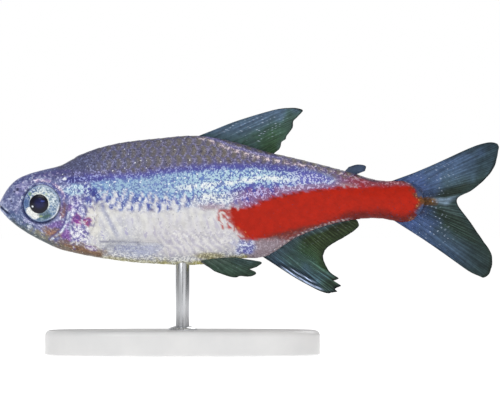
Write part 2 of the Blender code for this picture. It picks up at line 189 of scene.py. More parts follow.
# The points round the edge of an open grid, in order.
def gridRim(rows, columns):
    rim = list(range(columns)) + [(i + 1) * columns - 1 for i in range(1, rows)]
    rim += [(rows - 1) * columns + k for k in range(columns - 2, -1, -1)]
    return rim + [i * columns for i in range(rows - 2, 0, -1)]


# Faces of a closed piece of rings, whose two last points are its first and last pole.
def capped(rings, sides):
    k = np.arange(sides)
    after, pole, end = (k + 1) % sides, np.full(sides, rings * sides), (rings - 1) * sides
    first = np.stack([pole, after, k], -1)
    last = np.stack([pole + 1, end + k, end + after], -1)
    return [tuple(f) for faces in (first, gridFaces(rings, sides, True), last) for f in faces]


# The faces, turned over where the one with this number looks away from the given direction.
def facing(points, faces, number, out):
    a, b, c = (points[v] for v in faces[number][:3])
    return faces if np.dot(np.cross(b - a, c - a), out) > 0 else [face[::-1] for face in faces]


def newObject(name, data):
    made = bpy.data.objects.new(name, data)
    bpy.context.scene.collection.objects.link(made)
    return made


# A smooth mesh piece from fish points, with colour layers as point attributes.
def buildPiece(name, points, faces, layers=None, sharp=None):
    scene = (np.asarray(points, float) + (-place["snoutToMiddle"], 0.0, place["snoutHeight"])) / 1000
    mesh = bpy.data.meshes.new(name)
    mesh.from_pydata(scene.tolist(), [], [tuple(int(v) for v in f) for f in faces])
    mesh.validate()
    for layer, values in (layers or {}).items():
        made = mesh.color_attributes.new(layer, "FLOAT_COLOR", "POINT")
        made.data.foreach_set("color", np.asarray(values, np.float32).ravel())
    mesh.shade_smooth()
    if sharp:
        mesh.set_sharp_from_angle(angle=math.radians(sharp))
    return newObject(name, mesh)


def finished(piece, material, slot, *nodes):
    piece.data.materials.clear()
    piece.data.materials.append(material)
    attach(piece, "root")
    if nodes:
        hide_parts(*nodes)


# Materials
# Sets a socket to a value, or links to it the socket that feeds it.
def join(tree, socket, value):
    if isinstance(value, bpy.types.NodeSocket):
        tree.links.new(value, socket)
    else:
        socket.default_value = value


def feed(tree, made, **values):
    for name, value in values.items():
        join(tree, made.inputs[name.replace("_", " ")], value)
    return made


def node(tree, kind, settings=None, **values):
    made = tree.nodes.new(kind if "Node" in kind else "ShaderNode" + kind)
    for key, value in (settings or {}).items():
        setattr(made, key, value)
    return feed(tree, made, **values)


def attribute(tree, name):
    return node(tree, "Attribute", {"attribute_name": name})


def newMaterial(name):
    material = bpy.data.materials.new(name)
    material.use_nodes = True
    return material, material.node_tree, material.node_tree.nodes["Principled BSDF"]


def mixed(tree, factor, first, second):
    made = node(tree, "Mix", {"data_type": "RGBA"}, Factor=factor)
    join(tree, made.inputs[6], first)
    join(tree, made.inputs[7], second)
    return made.outputs[2]


def ramp(tree, value, low, high, start=0.0, stop=1.0):
    limits = {"From_Min": low, "From_Max": high, "To_Min": start, "To_Max": stop}
    return node(tree, "MapRange", {"interpolation_type": "SMOOTHSTEP"}, Value=value, **limits).outputs[0]


def maths(tree, how, *terms):
    made = node(tree, "Math", {"operation": how})
    for socket, value in zip(made.inputs, terms):
        join(tree, socket, value)
    return made.outputs[0]


def stretched(tree, vector, factors):
    made = node(tree, "VectorMath", {"operation": "MULTIPLY"})
    join(tree, made.inputs[0], vector)
    join(tree, made.inputs[1], factors)
    return made.outputs[0]


# A point attribute's colour, made lighter and darker by a pattern.
def shaded(tree, ground, pattern):
    made = node(tree, "VectorMath", {"operation": "SCALE"}, Scale=pattern)
    join(tree, made.inputs[0], ground.outputs["Color"])
    return made.outputs[0]


def noise(tree, scale, detail=2.0, rough=0.6, seed=0.0):
    where = node(tree, "TexCoord").outputs["Object"]
    shift = node(tree, "Mapping", Vector=where, Location=(seed, seed * 0.7, -seed)).outputs[0]
    return node(tree, "TexNoise", Vector=shift, Scale=scale, Detail=detail, Roughness=rough).outputs["Fac"]


def bumped(tree, shader, height, strength, depth):
    made = node(tree, "Bump", Height=height, Strength=strength, Distance=depth)
    tree.links.new(made.outputs[0], shader.inputs["Normal"])


# The skin's colours come with its points: a ground, slanting strokes on it and glinting flecks, and painted
# highlights as near-white dots among the flecks.
fleckLook = {
    "fleckScale": 4500.0,
    "dotScale": 8600.0,
    "dotShare": 0.52,
    "strokePitch": 0.00070,
    "strokeTurn": 16.0,
    "strokeNoise": 2600.0,
    "swayScale": 700.0,
    "sway": 9.0,
    "mottleScale": 1700.0,
    "mottle": (0.90, 1.09),
    "pepperScale": 6000.0,
    "pepper": (0.045, 0.04, 0.085, 1.0),
    "highlightScale": 4600.0,
    "paintedHighlight": (0.92, 0.94, 0.96, 1.0),
    "roughness": (0.45, 0.30),  # between the flecks and on them
    "metal": 0.10,
    "coat": 0.05,
    "coatRoughness": 0.15,
    "specular": 0.12,
    "bump": 0.30,
    "bumpDepth": 0.00003,
}


# Shows a pattern where it passes a level that falls as the density rises.
def thresholded(tree, pattern, density, gain, low, high, stop=1.0):
    return ramp(tree, maths(tree, "MULTIPLY_ADD", density, gain, pattern), low, high, 0.0, stop)


# Ragged strokes a scale's length apart, leaning back towards the belly.
def slantedStrokes(tree, look):
    lean = (0.0, math.radians(look["strokeTurn"]), 0.0)
    slanted = node(tree, "Mapping", Vector=node(tree, "TexCoord").outputs["Object"], Rotation=lean).outputs[0]
    along = node(tree, "SeparateXYZ", Vector=slanted).outputs[0]
    drawn = stretched(tree, slanted, (1.0, 0.35, 0.35))
    rough = node(tree, "TexNoise", Vector=drawn, Scale=look["strokeNoise"], Detail=2.5).outputs["Fac"]
    sway = maths(tree, "MULTIPLY", noise(tree, look["swayScale"], 1.0, 0.5, 0.04), look["sway"])
    phase = maths(tree, "MULTIPLY_ADD", along, 2 * math.pi / look["strokePitch"], sway)
    wave = maths(tree, "MULTIPLY_ADD", maths(tree, "SINE", phase), 0.10, -0.02)
    return maths(tree, "ADD", wave, rough)


def makeFleckedSkin(name, look):
    material, tree, shader = newMaterial(name)
    ground, stroke, glint = (attribute(tree, layer) for layer in ("ground", "stroke", "glint"))
    pepperShare, strokeShare, fleckShare = (made.outputs["Alpha"] for made in (ground, stroke, glint))
    coarse, dots = noise(tree, look["fleckScale"], 1.5, 0.5), noise(tree, look["dotScale"], 1.0, 0.5, 0.021)
    flecks = node(tree, "Mix", {"data_type": "FLOAT"}, Factor=look["dotShare"], A=coarse, B=dots).outputs[0]
    mottle = ramp(tree, noise(tree, look["mottleScale"], 3.0, 0.6, 0.031), 0.3, 0.7, *look["mottle"])
    streaks = thresholded(tree, slantedStrokes(tree, look), strokeShare, 0.5, 0.71, 0.78)
    colour = mixed(tree, streaks, shaded(tree, ground, mottle), stroke.outputs["Color"])
    pepper = noise(tree, look["pepperScale"], 1.0, 0.6, 0.013)
    pepper = thresholded(tree, pepper, pepperShare, 0.5, 0.70, 0.78, 0.65)
    colour = mixed(tree, pepper, colour, look["pepper"])
    shown = thresholded(tree, flecks, fleckShare, 0.5, 0.725, 0.78)
    colour = mixed(tree, shown, colour, glint.outputs["Color"])
    # Painted highlights: near-white dots where the flecks are thickest, standing in for light glittering on
    # the skin.
    highlightDots = noise(tree, look["highlightScale"], 1.0, 0.5, 0.057)
    highlightDots = thresholded(tree, highlightDots, fleckShare, 0.6, 0.97, 1.02, 0.85)
    colour = mixed(tree, highlightDots, colour, look["paintedHighlight"])
    feed(tree, shader, Base_Color=colour, Roughness=ramp(tree, shown, 0.0, 1.0, *look["roughness"]),
         Metallic=ramp(tree, shown, 0.0, 1.0, 0.0, look["metal"]), Coat_Weight=look["coat"],
         Coat_Roughness=look["coatRoughness"], Specular_IOR_Level=look["specular"])
    bumped(tree, shader, flecks, look["bump"], look["bumpDepth"])
    return material


# Markings
lines = {  # x and z along each
    "gillEdge": ((5.3, -4.8), (6.3, -3.3), (7.4, -2.1), (7.85, -0.5), (7.5, 1.3), (6.5, 3.1), (5.5, 5.2)),
    "cheek": ((4.75, 1.55), (5.35, 0.5), (5.5, -0.8), (5.05, -2.0), (4.1, -2.75)),
    "mouth": ((-0.3, 0.12), (0.0, -0.06), (0.5, -0.52), (1.1, -0.94), (1.65, -1.26)),
    "jaw": ((0.55, -0.80), (1.2, -1.30), (1.9, -1.85), (2.6, -2.50)),
    "upperJaw": ((0.45, 0.35), (0.95, -0.30), (1.45, -0.92)),
    "brow": ((2.1, 1.55), (2.9, 2.05), (3.9, 2.05), (4.8, 1.55), (5.25, 0.85)),
    "shoulderShade": ((8.2, -0.1), (8.65, -1.0), (9.2, -2.0), (9.6, -2.9)),
    "fin": ((8.1, -3.05), (10.6, -3.16), (13.2, -3.15)),
}
eye = {"x": 3.35, "z": 0.09, "radius": 1.54, "dome": 0.42, "sunk": 0.08, "pupil": 0.765, "forward": 0.17}
stripe = {  # lines from front to rear, x and z
    "top": ((4.7, 1.85), (6.4, 2.06), (9.0, 2.22), (11.4, 2.34), (14.0, 2.74), (16.6, 2.98),
            (19.2, 3.06), (21.5, 3.0), (23.2, 2.88), (25.8, 2.38), (27.1, 1.90)),
    "core": ((8.0, 1.20), (12.0, 1.25), (14.4, 1.30), (16.0, 1.45), (18.0, 1.75), (20.0, 2.00),
             (22.4, 2.05), (24.8, 1.95), (27.1, 1.85)),
    "bottom": ((4.7, 0.70), (7.0, 0.85), (8.8, 1.05), (10.4, 0.90), (12.0, 0.78), (14.4, 0.75), (16.0, 0.80),
               (18.0, 1.00), (20.0, 1.45), (22.4, 1.60), (25.0, 1.75), (27.1, 1.80)),
    "fringe": ((4.7, 0.30), (7.0, 0.00), (8.8, -0.35), (12.0, -0.55), (14.4, -0.35), (16.0, -0.10),
               (18.0, -0.05), (20.0, 0.6), (22.4, 1.20), (25.6, 1.50), (27.1, 1.75)),
    "end": 27.1,
}
red = {  # front and end are lines from low to high, z and x
    "top": ((17.0, -0.10), (19.2, -0.14), (20.0, -0.05), (21.3, 0.42), (22.6, 0.82), (25.1, 1.20),
            (27.7, 1.46), (30.2, 1.60), (32.7, 1.62), (34.2, 1.6)),
    "bottom": ((17.0, -3.3), (19.0, -3.1), (20.2, -2.85), (22.6, -2.38), (25.1, -1.78), (26.4, -1.56),
               (27.6, -1.50), (28.4, -1.8), (30.0, -2.2), (34.2, -2.2)),
    "front": ((-3.3, 20.5), (-2.8, 20.05), (-1.9, 19.2), (-1.5, 18.75), (-0.9, 18.65), (0.3, 18.4)),
    "end": ((-1.9, 32.3), (-1.3, 32.9), (-0.75, 33.12), (-0.3, 33.2), (-0.05, 33.5), (0.3, 33.9),
            (0.6, 33.45), (0.95, 33.12), (1.45, 32.95), (1.8, 32.4), (2.1, 31.9)),
}
# A mark is a soft patch: x, z, its two reaches, its turn in degrees, ground, glint, fleck share, strength.
headMarks = (
    (2.6, 2.25, 2.4, 0.50, 24, "#555b8e", "#8f9ac4", 0.38, 0.9),  # top of the snout
    (0.8, 0.6, 1.0, 0.8, 40, "#70769f", "#959cc2", 0.38, 0.9),  # side of the snout
    (1.85, 1.30, 0.75, 0.50, 50, "#8886b6", "#bab6da", 0.46, 0.85),  # before the eye
    (1.2, -1.3, 1.5, 0.66, -43, "#46587c", "#7488a8", 0.40, 0.95),  # chin
    (1.75, -0.75, 0.42, 1.0, -18, "#5c6a90", "#8b9abc", 0.40, 0.85),  # before the eye, low
    (2.5, -2.25, 1.3, 0.60, -40, "#506074", "#8797a8", 0.40, 0.95),  # jaw
    (0.75, -1.35, 0.9, 0.15, -45, "#3f4c74", "#7c8cb0", 0.20, 0.85),  # dark line under the chin
    (4.4, 2.55, 1.6, 0.20, 8, "#504e86", "#9080ae", 0.32, 0.8),
    (4.6, -1.62, 0.95, 0.38, 14, "#705896", "#9881c0", 0.42, 0.95),  # violet under the eye
    (3.3, -2.45, 1.1, 0.42, -26, "#7c7a6e", "#a8a594", 0.42, 0.95),
    (2.35, -1.85, 0.13, 0.50, -24, "#8292ac", "#d6dde8", 0.48, 0.6),
    (2.75, -2.05, 0.12, 0.40, -24, "#8292ac", "#d6dde8", 0.46, 0.5),
    (4.15, -2.15, 1.00, 0.42, -14, "#7c6254", "#9b816f", 0.42, 0.85),  # orange of the cheek
    (4.1, -2.20, 0.50, 0.22, -10, "#8a5a42", "#ae8062", 0.38, 0.62),
    (5.25, 0.95, 0.30, 0.45, 10, "#56569c", "#b4b8e0", 0.42, 0.8),
    (6.0, 0.05, 0.60, 0.62, 0, "#645e9e", "#bcb8de", 0.46, 0.9),  # lilac of the gill cover
    (5.75, -0.30, 0.30, 0.30, 0, "#7d5a94", "#b49ad0", 0.36, 0.7),
    (5.12, -0.40, 0.36, 0.90, -6, "#745a74", "#9a7c98", 0.40, 0.95),  # brown behind the eye
    (5.08, -0.45, 0.24, 0.50, -6, "#826058", "#a4847c", 0.38, 0.70),
    (6.15, 1.22, 1.15, 0.46, -4, "#7590bc", "#c0d6e2", 0.56, 0.95),  # turquoise behind the eye
    (7.0, 1.25, 0.30, 0.45, 20, "#5a62ac", "#d0e0ee", 0.42, 0.8),
    (5.9, 2.00, 1.2, 0.24, 3, "#3d3d84", "#8890c8", 0.42, 0.95),  # violet over it
    (7.5, 2.02, 0.9, 0.20, 4, "#45448e", "#8890c8", 0.40, 0.85),
    (5.2, 2.08, 0.17, 0.13, 0, "#e4eef2", "#ffffff", 0.6, 0.95),
    (6.15, -1.10, 0.45, 0.50, 0, "#784284", "#9f76b2", 0.42, 0.95),  # magenta of the gill cover
    (6.3, -1.45, 0.28, 0.24, 0, "#9c3c90", "#c47cbc", 0.28, 0.9),
    (7.5, -1.35, 0.50, 1.70, 6, "#d8d6d0", "#e2e0da", 0.30, 0.95),
    (7.05, -1.32, 0.36, 0.36, -10, "#9a3e74", "#cfb0cc", 0.42, 0.92),
    (5.45, -2.50, 0.40, 0.52, 25, "#784892", "#9c7ab8", 0.40, 0.95),
    (6.45, -2.55, 0.70, 0.85, 20, "#8f88b4", "#e6e6ea", 0.54, 0.94),  # silver of the gill cover
    (5.9, -0.55, 0.22, 0.50, -12, "#aaa8cc", "#f4f4f6", 0.56, 0.8),
    (6.6, -0.45, 0.26, 0.45, 10, "#8c8cc0", "#e4e6ee", 0.52, 0.8),
    (7.15, 0.35, 0.26, 0.55, 0, "#5c68ae", "#d8e6ee", 0.42, 0.85),
    (7.95, 0.45, 0.36, 1.00, 32, "#424a96", "#90a4d0", 0.34, 0.92),
    (6.3, -3.45, 2.6, 0.46, -13, "#745e50", "#988270", 0.42, 0.82),  # orange of the throat
    (6.3, -3.55, 2.0, 0.26, -13, "#7c5a40", "#a07c5c", 0.40, 0.75),
    (4.7, -3.30, 1.3, 0.30, -22, "#6b6458", "#969084", 0.42, 0.85),
    (7.3, -3.42, 0.5, 0.18, -14, "#8a76a8", "#dcd8e4", 0.52, 0.85),
)
shadedPits = (  # x, z, radius
    (1.20, 1.06, 0.06),
    (1.42, 1.24, 0.12),
    (0.95, 0.28, 0.07),
    (0.78, 0.62, 0.05),
    (1.02, 0.10, 0.05),
)
# A painted highlight in a line of pale beads under the back: x, then how deep it lies there.
ridgeHighlightLine = ((16.0, 16.8, 18.7, 20.3, 21.5, 27.0), (0.15, 0.32, 0.70, 0.68, 0.57, 0.30))


# A drawn line's second number where its first is the one given.
def lineAt(table, at):
    return eased([p[0] for p in table], [p[1] for p in table], at)


def waves(distance, pitch, shift):
    return 0.5 - 0.5 * np.cos(2 * np.pi * (distance / pitch + shift))


# Points of the body seen from its side, with the noises and lines that their colours share. lay puts tones
# over their layers: under is the ground's, over that of the flecks, and stroked that of the strokes.
def flankPoints(x, z):
    layers = {name: np.zeros((len(x), 4)) for name in ("ground", "stroke", "glint")}

    def lay(mask, under, over, flecks, pepper=0.0, stroked=None, strokes=0.0):
        mask = np.clip(mask, 0.0, 1.0)[:, None]
        laid = {"ground": (under, pepper), "stroke": (stroked or under, strokes), "glint": (over, flecks)}
        for name, (code, share) in laid.items():
            layers[name] = layers[name] * (1 - mask) + mask * np.append(tone(code), share)

    _, tall, middle = bodySection(x)
    at = SimpleNamespace(x=x, z=z, low=z - (middle - tall), deep=(middle + tall) - z, layers=layers, lay=lay)
    at.fine, at.mid, at.broad = cloud(x, z, 0.17, 5), cloud(x, z, 0.38, 9), cloud(x, z, 1.3, 3)
    at.top, at.bottom = lineAt(stripe["top"], x), lineAt(stripe["bottom"], x)
    at.fringe, at.core = lineAt(stripe["fringe"], x), lineAt(stripe["core"], x)
    at.above = z - lineAt(red["top"], x)
    return at


def paintBack(at):
    lay, x, z, deep, mid, top = at.lay, at.x, at.z, at.deep, at.mid, at.top
    lay(np.ones(len(x)), "#646273", "#7f7c9c", 0.40, 0.30)
    lay(0.85 * smooth(14.0, 8.0, x), "#565a7c", "#747ca6", 0.40, 0.32)
    lay(0.9 * smooth(15.0, 22.0, x), "#6f6880", "#aa9db8", 0.42, 0.26)
    lay(0.8 * smooth(23.0, 26.5, x), "#7d6478", "#cbb4c2", 0.42, 0.22)
    lay(0.88 * smooth(0.38, 0.08, deep), "#454862", "#8886a6", 0.32, 0.2)
    lay(0.85 * smooth(0.9, 0.25, z - top - 0.12 * mid), "#5b588c", "#9290c4", 0.36, 0.2)


# Belly and flank under the stripe.
def paintBelly(at):
    lay, x, z, low = at.lay, at.x, at.z, at.low
    fine, mid, broad, fringe = at.fine, at.mid, at.broad, at.fringe
    lay(smooth(0.12, -0.12, z - fringe - 0.1 * mid), "#d9d8d5", "#dedddb", 0.33, 0, "#cdcad2", 0.14)
    lay(0.8 * smooth(-1.6, -2.3, z + 0.2 * mid), "#d2d0d2", "#dedddc", 0.42, 0, "#bcb8ca", 0.30)
    front = smooth(11.2, 9.6, x + 0.3 * z) * smooth(-0.2, -0.8, z - fringe)
    lay(0.85 * front, "#c9cad0", "#dcdcda", 0.40, 0, "#aeacc8", 0.32)
    keel = smooth(-3.05, -3.3, z + 0.05 * mid) * within(x, 8.6, 9.6, 12.4, 13.4)
    lay(0.8 * keel, "#a2a6c6", "#d2d8e4", 0.44, 0, "#8286b4", 0.30)
    lay(0.45 * smooth(-0.9, -1.5, z) * smooth(11.0, 13.0, x), "#cfcccf", "#d8d5d7", 0.36, 0, "#bbb5c4", 0.28)
    # Painted shade: lilac-grey bands a finger's pitch apart down the belly, the shade of furrows the skin's
    # shape does not have.
    furrowShade = waves(x + 0.12 * z, 0.77, 0.35 * mid + 0.2 * broad)
    furrowShade *= smooth(-2.7, -1.2, z) * smooth(0.3, -0.3, z - fringe)
    lay(0.55 * furrowShade, "#c2c1ce", "#cfced6", 0.34, 0, "#b0adc4", 0.24)
    # Painted shade and highlight of soft folds low on the belly: darker in their hollows, lighter on their
    # crests.
    foldShading = waves(x + 0.9 * z, 0.66, 0.45 * mid + 0.3 * broad)
    folded = smooth(-1.7, -2.4, z) * smooth(0.5, 0.9, low) * within(x, 11.8, 13.2, 18.4, 19.4)
    lay(0.62 * foldShading * foldShading * folded, "#a6a2ba", "#c4c1d2", 0.38)
    lay(0.55 * (1 - foldShading) ** 3 * folded, "#e0dedc", "#f2f1ee", 0.42)
    lay(0.85 * smooth(0.95, 0.55, low + 0.16 * mid) * smooth(7.5, 9.5, x), "#a2a4b2", "#ececea", 0.52, 0.12)
    lay(0.85 * smooth(0.42, 0.10, low + 0.10 * fine) * smooth(7.0, 9.0, x), "#908a56", "#dad8b4", 0.46, 0.12)
    yellow = smooth(0.0, 0.4, broad + 0.4 * mid) * smooth(0.70, 0.25, low) * smooth(8.0, 9.5, x)
    lay(0.7 * yellow, "#a89f3e", "#d8d394", 0.38)
    # under the red, and round the vent and the pelvic fins
    ahead = x - lineAt(red["front"], z) + 0.3 * mid + 0.5 * smooth(-2.3, -2.8, z)
    lay(smooth(-0.25, 0.15, ahead) * smooth(-0.5, -1.0, z), "#90818a", "#aa9ea8", 0.40, 0.08)
    vent = oval(x - 19.5, z + 3.40, 0.85, 0.70) + 0.5 * mid
    lay(0.95 * smooth(1.15, 0.6, vent), "#7478ae", "#cfd6ec", 0.48)
    vent = oval(x - 19.9, z + 3.65, 0.5, 0.35) + 0.4 * fine
    lay(0.8 * smooth(1.1, 0.5, vent), "#5c5ca6", "#aab0e2", 0.42)
    olive = oval(x - 16.8, z + 4.05, 1.6, 0.30) + 0.2 * mid
    lay(0.7 * smooth(1.2, 0.4, olive), "#8a7f3e", "#d2cd96", 0.40, 0.15)


# The stripe over its blue fringe, which is drawn down in fingers, and the mauve above the red.
def paintStripe(at):
    lay, x, z, fine, mid = at.lay, at.x, at.z, at.fine, at.mid
    top, bottom, fringe, core, above = at.top, at.bottom, at.fringe, at.core, at.above
    stop = stripe["end"]
    reach = fringe + (0.35 * mid + 0.2 * fine) * smooth(21.0, 17.0, x)
    lean = np.interp(x, (8.0, 13.0), (0.8, 0.2))
    finger = 0.5 + 0.5 * np.cos(2 * np.pi * ((x - lean * (z - fringe)) / 0.77 + 0.26 * mid)) + 0.18 * fine
    finger = 0.55 + (finger - 0.55) * smooth(17.2, 14.2, x)
    fringed = smooth(-0.15, 0.15, z - reach) * smooth(0.3, -0.1, z - top) * smooth(stop + 0.4, stop - 0.8, x)
    lay(fringed, "#d2d3d8", "#e6e7e8", 0.38, 0, "#9aa2ca", 0.22)
    rise = np.clip((z - fringe) / np.maximum(bottom - fringe, 0.2), -0.3, 1.6)
    drawn = fringed * smooth(-0.10, 0.12, rise - 1.30 * finger + 0.10)
    lay(0.94 * drawn, "#6371ae", "#9fb4d6", 0.36, 0, "#434d98", 0.48)
    lay(0.85 * fringed * smooth(14.4, 16.8, x), "#7884aa", "#d6dde4", 0.52, 0, "#5660a4", 0.36)
    mauve = smooth(18.0, 19.6, x + 0.5 * mid) * smooth(stop + 0.8, stop - 0.6, x)
    band = smooth(-0.3, 0.05, above) * smooth(0.1, -0.15, z - bottom + 0.15 * mid)
    lay(mauve * band, "#7d5f90", "#c2b8e0", 0.42, 0.05, "#5450a0", 0.34)
    band = smooth(0.55, 0.1, above - 0.2 * mid) * smooth(-0.3, 0.0, above)
    lay(0.7 * mauve * band, "#8a5670", "#c9a0c4", 0.36)
    band = smooth(21.8, 23.2, x) * smooth(0.05, 0.25, above + 0.1 * mid) * smooth(0.0, -0.3, z - top)
    lay(0.65 * mauve * band, "#8d7f9e", "#d2c8e6", 0.48)
    # the stripe
    inside = smooth(-0.20, 0.14, z - bottom + 0.20 * mid - 0.62 * (finger - 0.5))
    inside *= smooth(0.12, -0.06, z - top)
    inside *= smooth(stop + 0.2, stop - 0.9, x + 0.4 * fine) * smooth(4.7, 5.1, x)
    lay(inside, "#6f84b8", "#9fbdd4", 0.50, 0, "#6f8cc0", 0.38)
    lay(0.9 * inside * smooth(12.0, 18.0, x), "#6273b2", "#bcd8e4", 0.52, 0, "#6480bc", 0.35)
    lay(0.9 * inside * smooth(21.5, 25.0, x), "#6a68b4", "#cfd2ee", 0.43)
    under = smooth(0.26, 0.06, np.abs(z - bottom - 0.05) + 0.1 * mid)
    lay(0.8 * under * within(x, 17.6, 19.0, 21.0, 24.5), "#4f4da0", "#aab4e0", 0.40)
    light = inside * smooth(0.26, 0.08, np.abs(z - core) + 0.16 * mid)
    lay(0.85 * light * within(x, 13.0, 15.5, 21.5, 24.5), "#7f90bc", "#eef2f0", 0.60)
    lay(0.7 * smooth(1.0, 0.4, oval(x - 17.2, z - 0.65, 1.4, 0.45) + 0.3 * mid), "#8290b4", "#eaece8", 0.58)
    line = smooth(0.38, 0.10, np.abs(z - top - 0.06 - 0.10 * mid - 0.06 * fine))
    lay(0.92 * line * within(x, 4.6, 5.4, 23.0, 26.6), "#514f9c", "#8f96cc", 0.38, 0.15)
    rosy = oval(x - 17.0, z + 0.12, 1.2, 0.32) + 0.35 * mid
    lay(0.72 * smooth(1.1, 0.5, rosy), "#96808f", "#c2acc0", 0.38, 0.08)


# The red, with its ragged front.
def paintRed(at):
    lay, x, z, low = at.lay, at.x, at.z, at.low
    deep, fine, mid, broad, above = at.deep, at.fine, at.mid, at.broad, at.above
    front = x - lineAt(red["front"], z)
    late = x - lineAt(red["end"], z)
    ragged = 0.10 * mid + 0.08 * fine
    inRed = smooth(-0.06, 0.08, ragged + 0.05 * fine - above)
    inRed *= smooth(-0.05, 0.08, z - lineAt(red["bottom"], x) + 0.6 * ragged)
    inRed *= smooth(0.10, -0.08, late + 3.0 * ragged + 0.12 * broad)
    loops = np.abs(cloud(x, z, 0.23, 77) + 0.20 * fine)
    spattered = inRed * smooth(17.35, 17.6, x + 0.15 * mid) * within(z, -2.9, -2.6, -0.4, -0.15)
    spattered *= smooth(-0.9, -0.6, front + 0.9 * smooth(-2.1, -1.7, z))
    spattered *= np.maximum(smooth(0.30, 0.18, loops), smooth(-0.50, -0.2, front + 0.3 * mid))
    inRed *= smooth(-0.10, 0.08, front + 2.2 * ragged)
    rump = smooth(26.2, 29.0, x)
    lay(0.85 * rump * smooth(-0.5, 0.0, above), "#75637a", "#b9a2b6", 0.40, 0.1)
    lay(0.9 * spattered, "#a8210f", "#cc6450", 0.24)
    lay(inRed, "#ac1c05", "#b62409", 0.2)
    crumbs = near(front + 0.1, 0.2, 0.45) * within(z, -2.7, -2.4, -1.9, -1.7)
    lay(0.8 * crumbs * smooth(0.0, 0.25, cloud(x, z, 0.15, 79)), "#c47a40", "#ecdcb0", 0.44)
    dark = inRed * near(above + 0.10, 0.04, 0.16) * smooth(0.15, 0.45, mid + 0.5 * fine) * smooth(29, 27, x)
    lay(0.6 * dark, "#5e1a1c", "#8a3434", 0.3)
    soft = rump * smooth(-0.36, 0.0, above + 0.20 * mid) * smooth(0.2, -0.1, late)
    lay(0.85 * soft, "#922c36", "#b8708a", 0.38, 0.05)
    soft = smooth(28.5, 31.0, x) * smooth(-0.1, 0.12, above) * smooth(0.2, -0.1, late)
    lay(0.6 * soft, "#80424e", "#c99a9c", 0.42)
    shade = inRed * smooth(1.05, 0.25, low + 0.15 * mid) * smooth(25, 28.5, x)
    lay(0.9 * shade, "#561510", "#7c241a", 0.26, 0.2)
    foot = z - lineAt(red["bottom"], x) + 0.8 * ragged
    lay(0.85 * near(foot, 0.08, 0.40) * within(x, 20.0, 22.5, 27.4, 28.4), "#642820", "#8a4436", 0.36, 0.2)
    speckled = within(foot, -0.85, -0.35, 0.0, 0.15) * within(x, 21.8, 23.2, 27.5, 28.5)
    lay(0.85 * speckled * smooth(-0.25, 0.05, cloud(x, z, 0.24, 81)), "#7a2c24", "#96483e", 0.3, 0.1)
    dashes = near(low - 0.10, 0.04, 0.12) * within(x, 21.0, 22.0, 27.5, 28.5)
    wave = np.sin(2 * np.pi * x / 0.36)
    lay(0.85 * dashes * smooth(-0.2, 0.3, wave), "#a89aa8", "#e6d6d0", 0.50)
    lay(0.80 * dashes * smooth(0.3, -0.2, wave), "#5c4046", "#7c5c50", 0.36, 0.2)
    ridgeLine = smooth(0.26, 0.12, deep + 0.04 * mid) * within(x, 20.5, 22.0, 29.5, 31.5)
    lay(0.88 * ridgeLine, "#332d48", "#5c4f6c", 0.16, 0.1)
    lay(0.95 * smooth(-0.08, 0.08, late + 2.2 * ragged), "#34466c", "#4c5f86", 0.26)
    brown = near(late - 0.02 + 1.5 * ragged, 0.12, 0.40) * smooth(-0.6, 0.1, mid)
    lay(0.85 * brown, "#6a3020", "#b07c48", 0.40, 0.1)
    brown = oval(x - 34.25, z - 0.3, 0.85, 0.52) + 0.3 * fine
    lay(0.90 * smooth(1.1, 0.5, brown), "#62401c", "#a07a34", 0.34, 0.12)


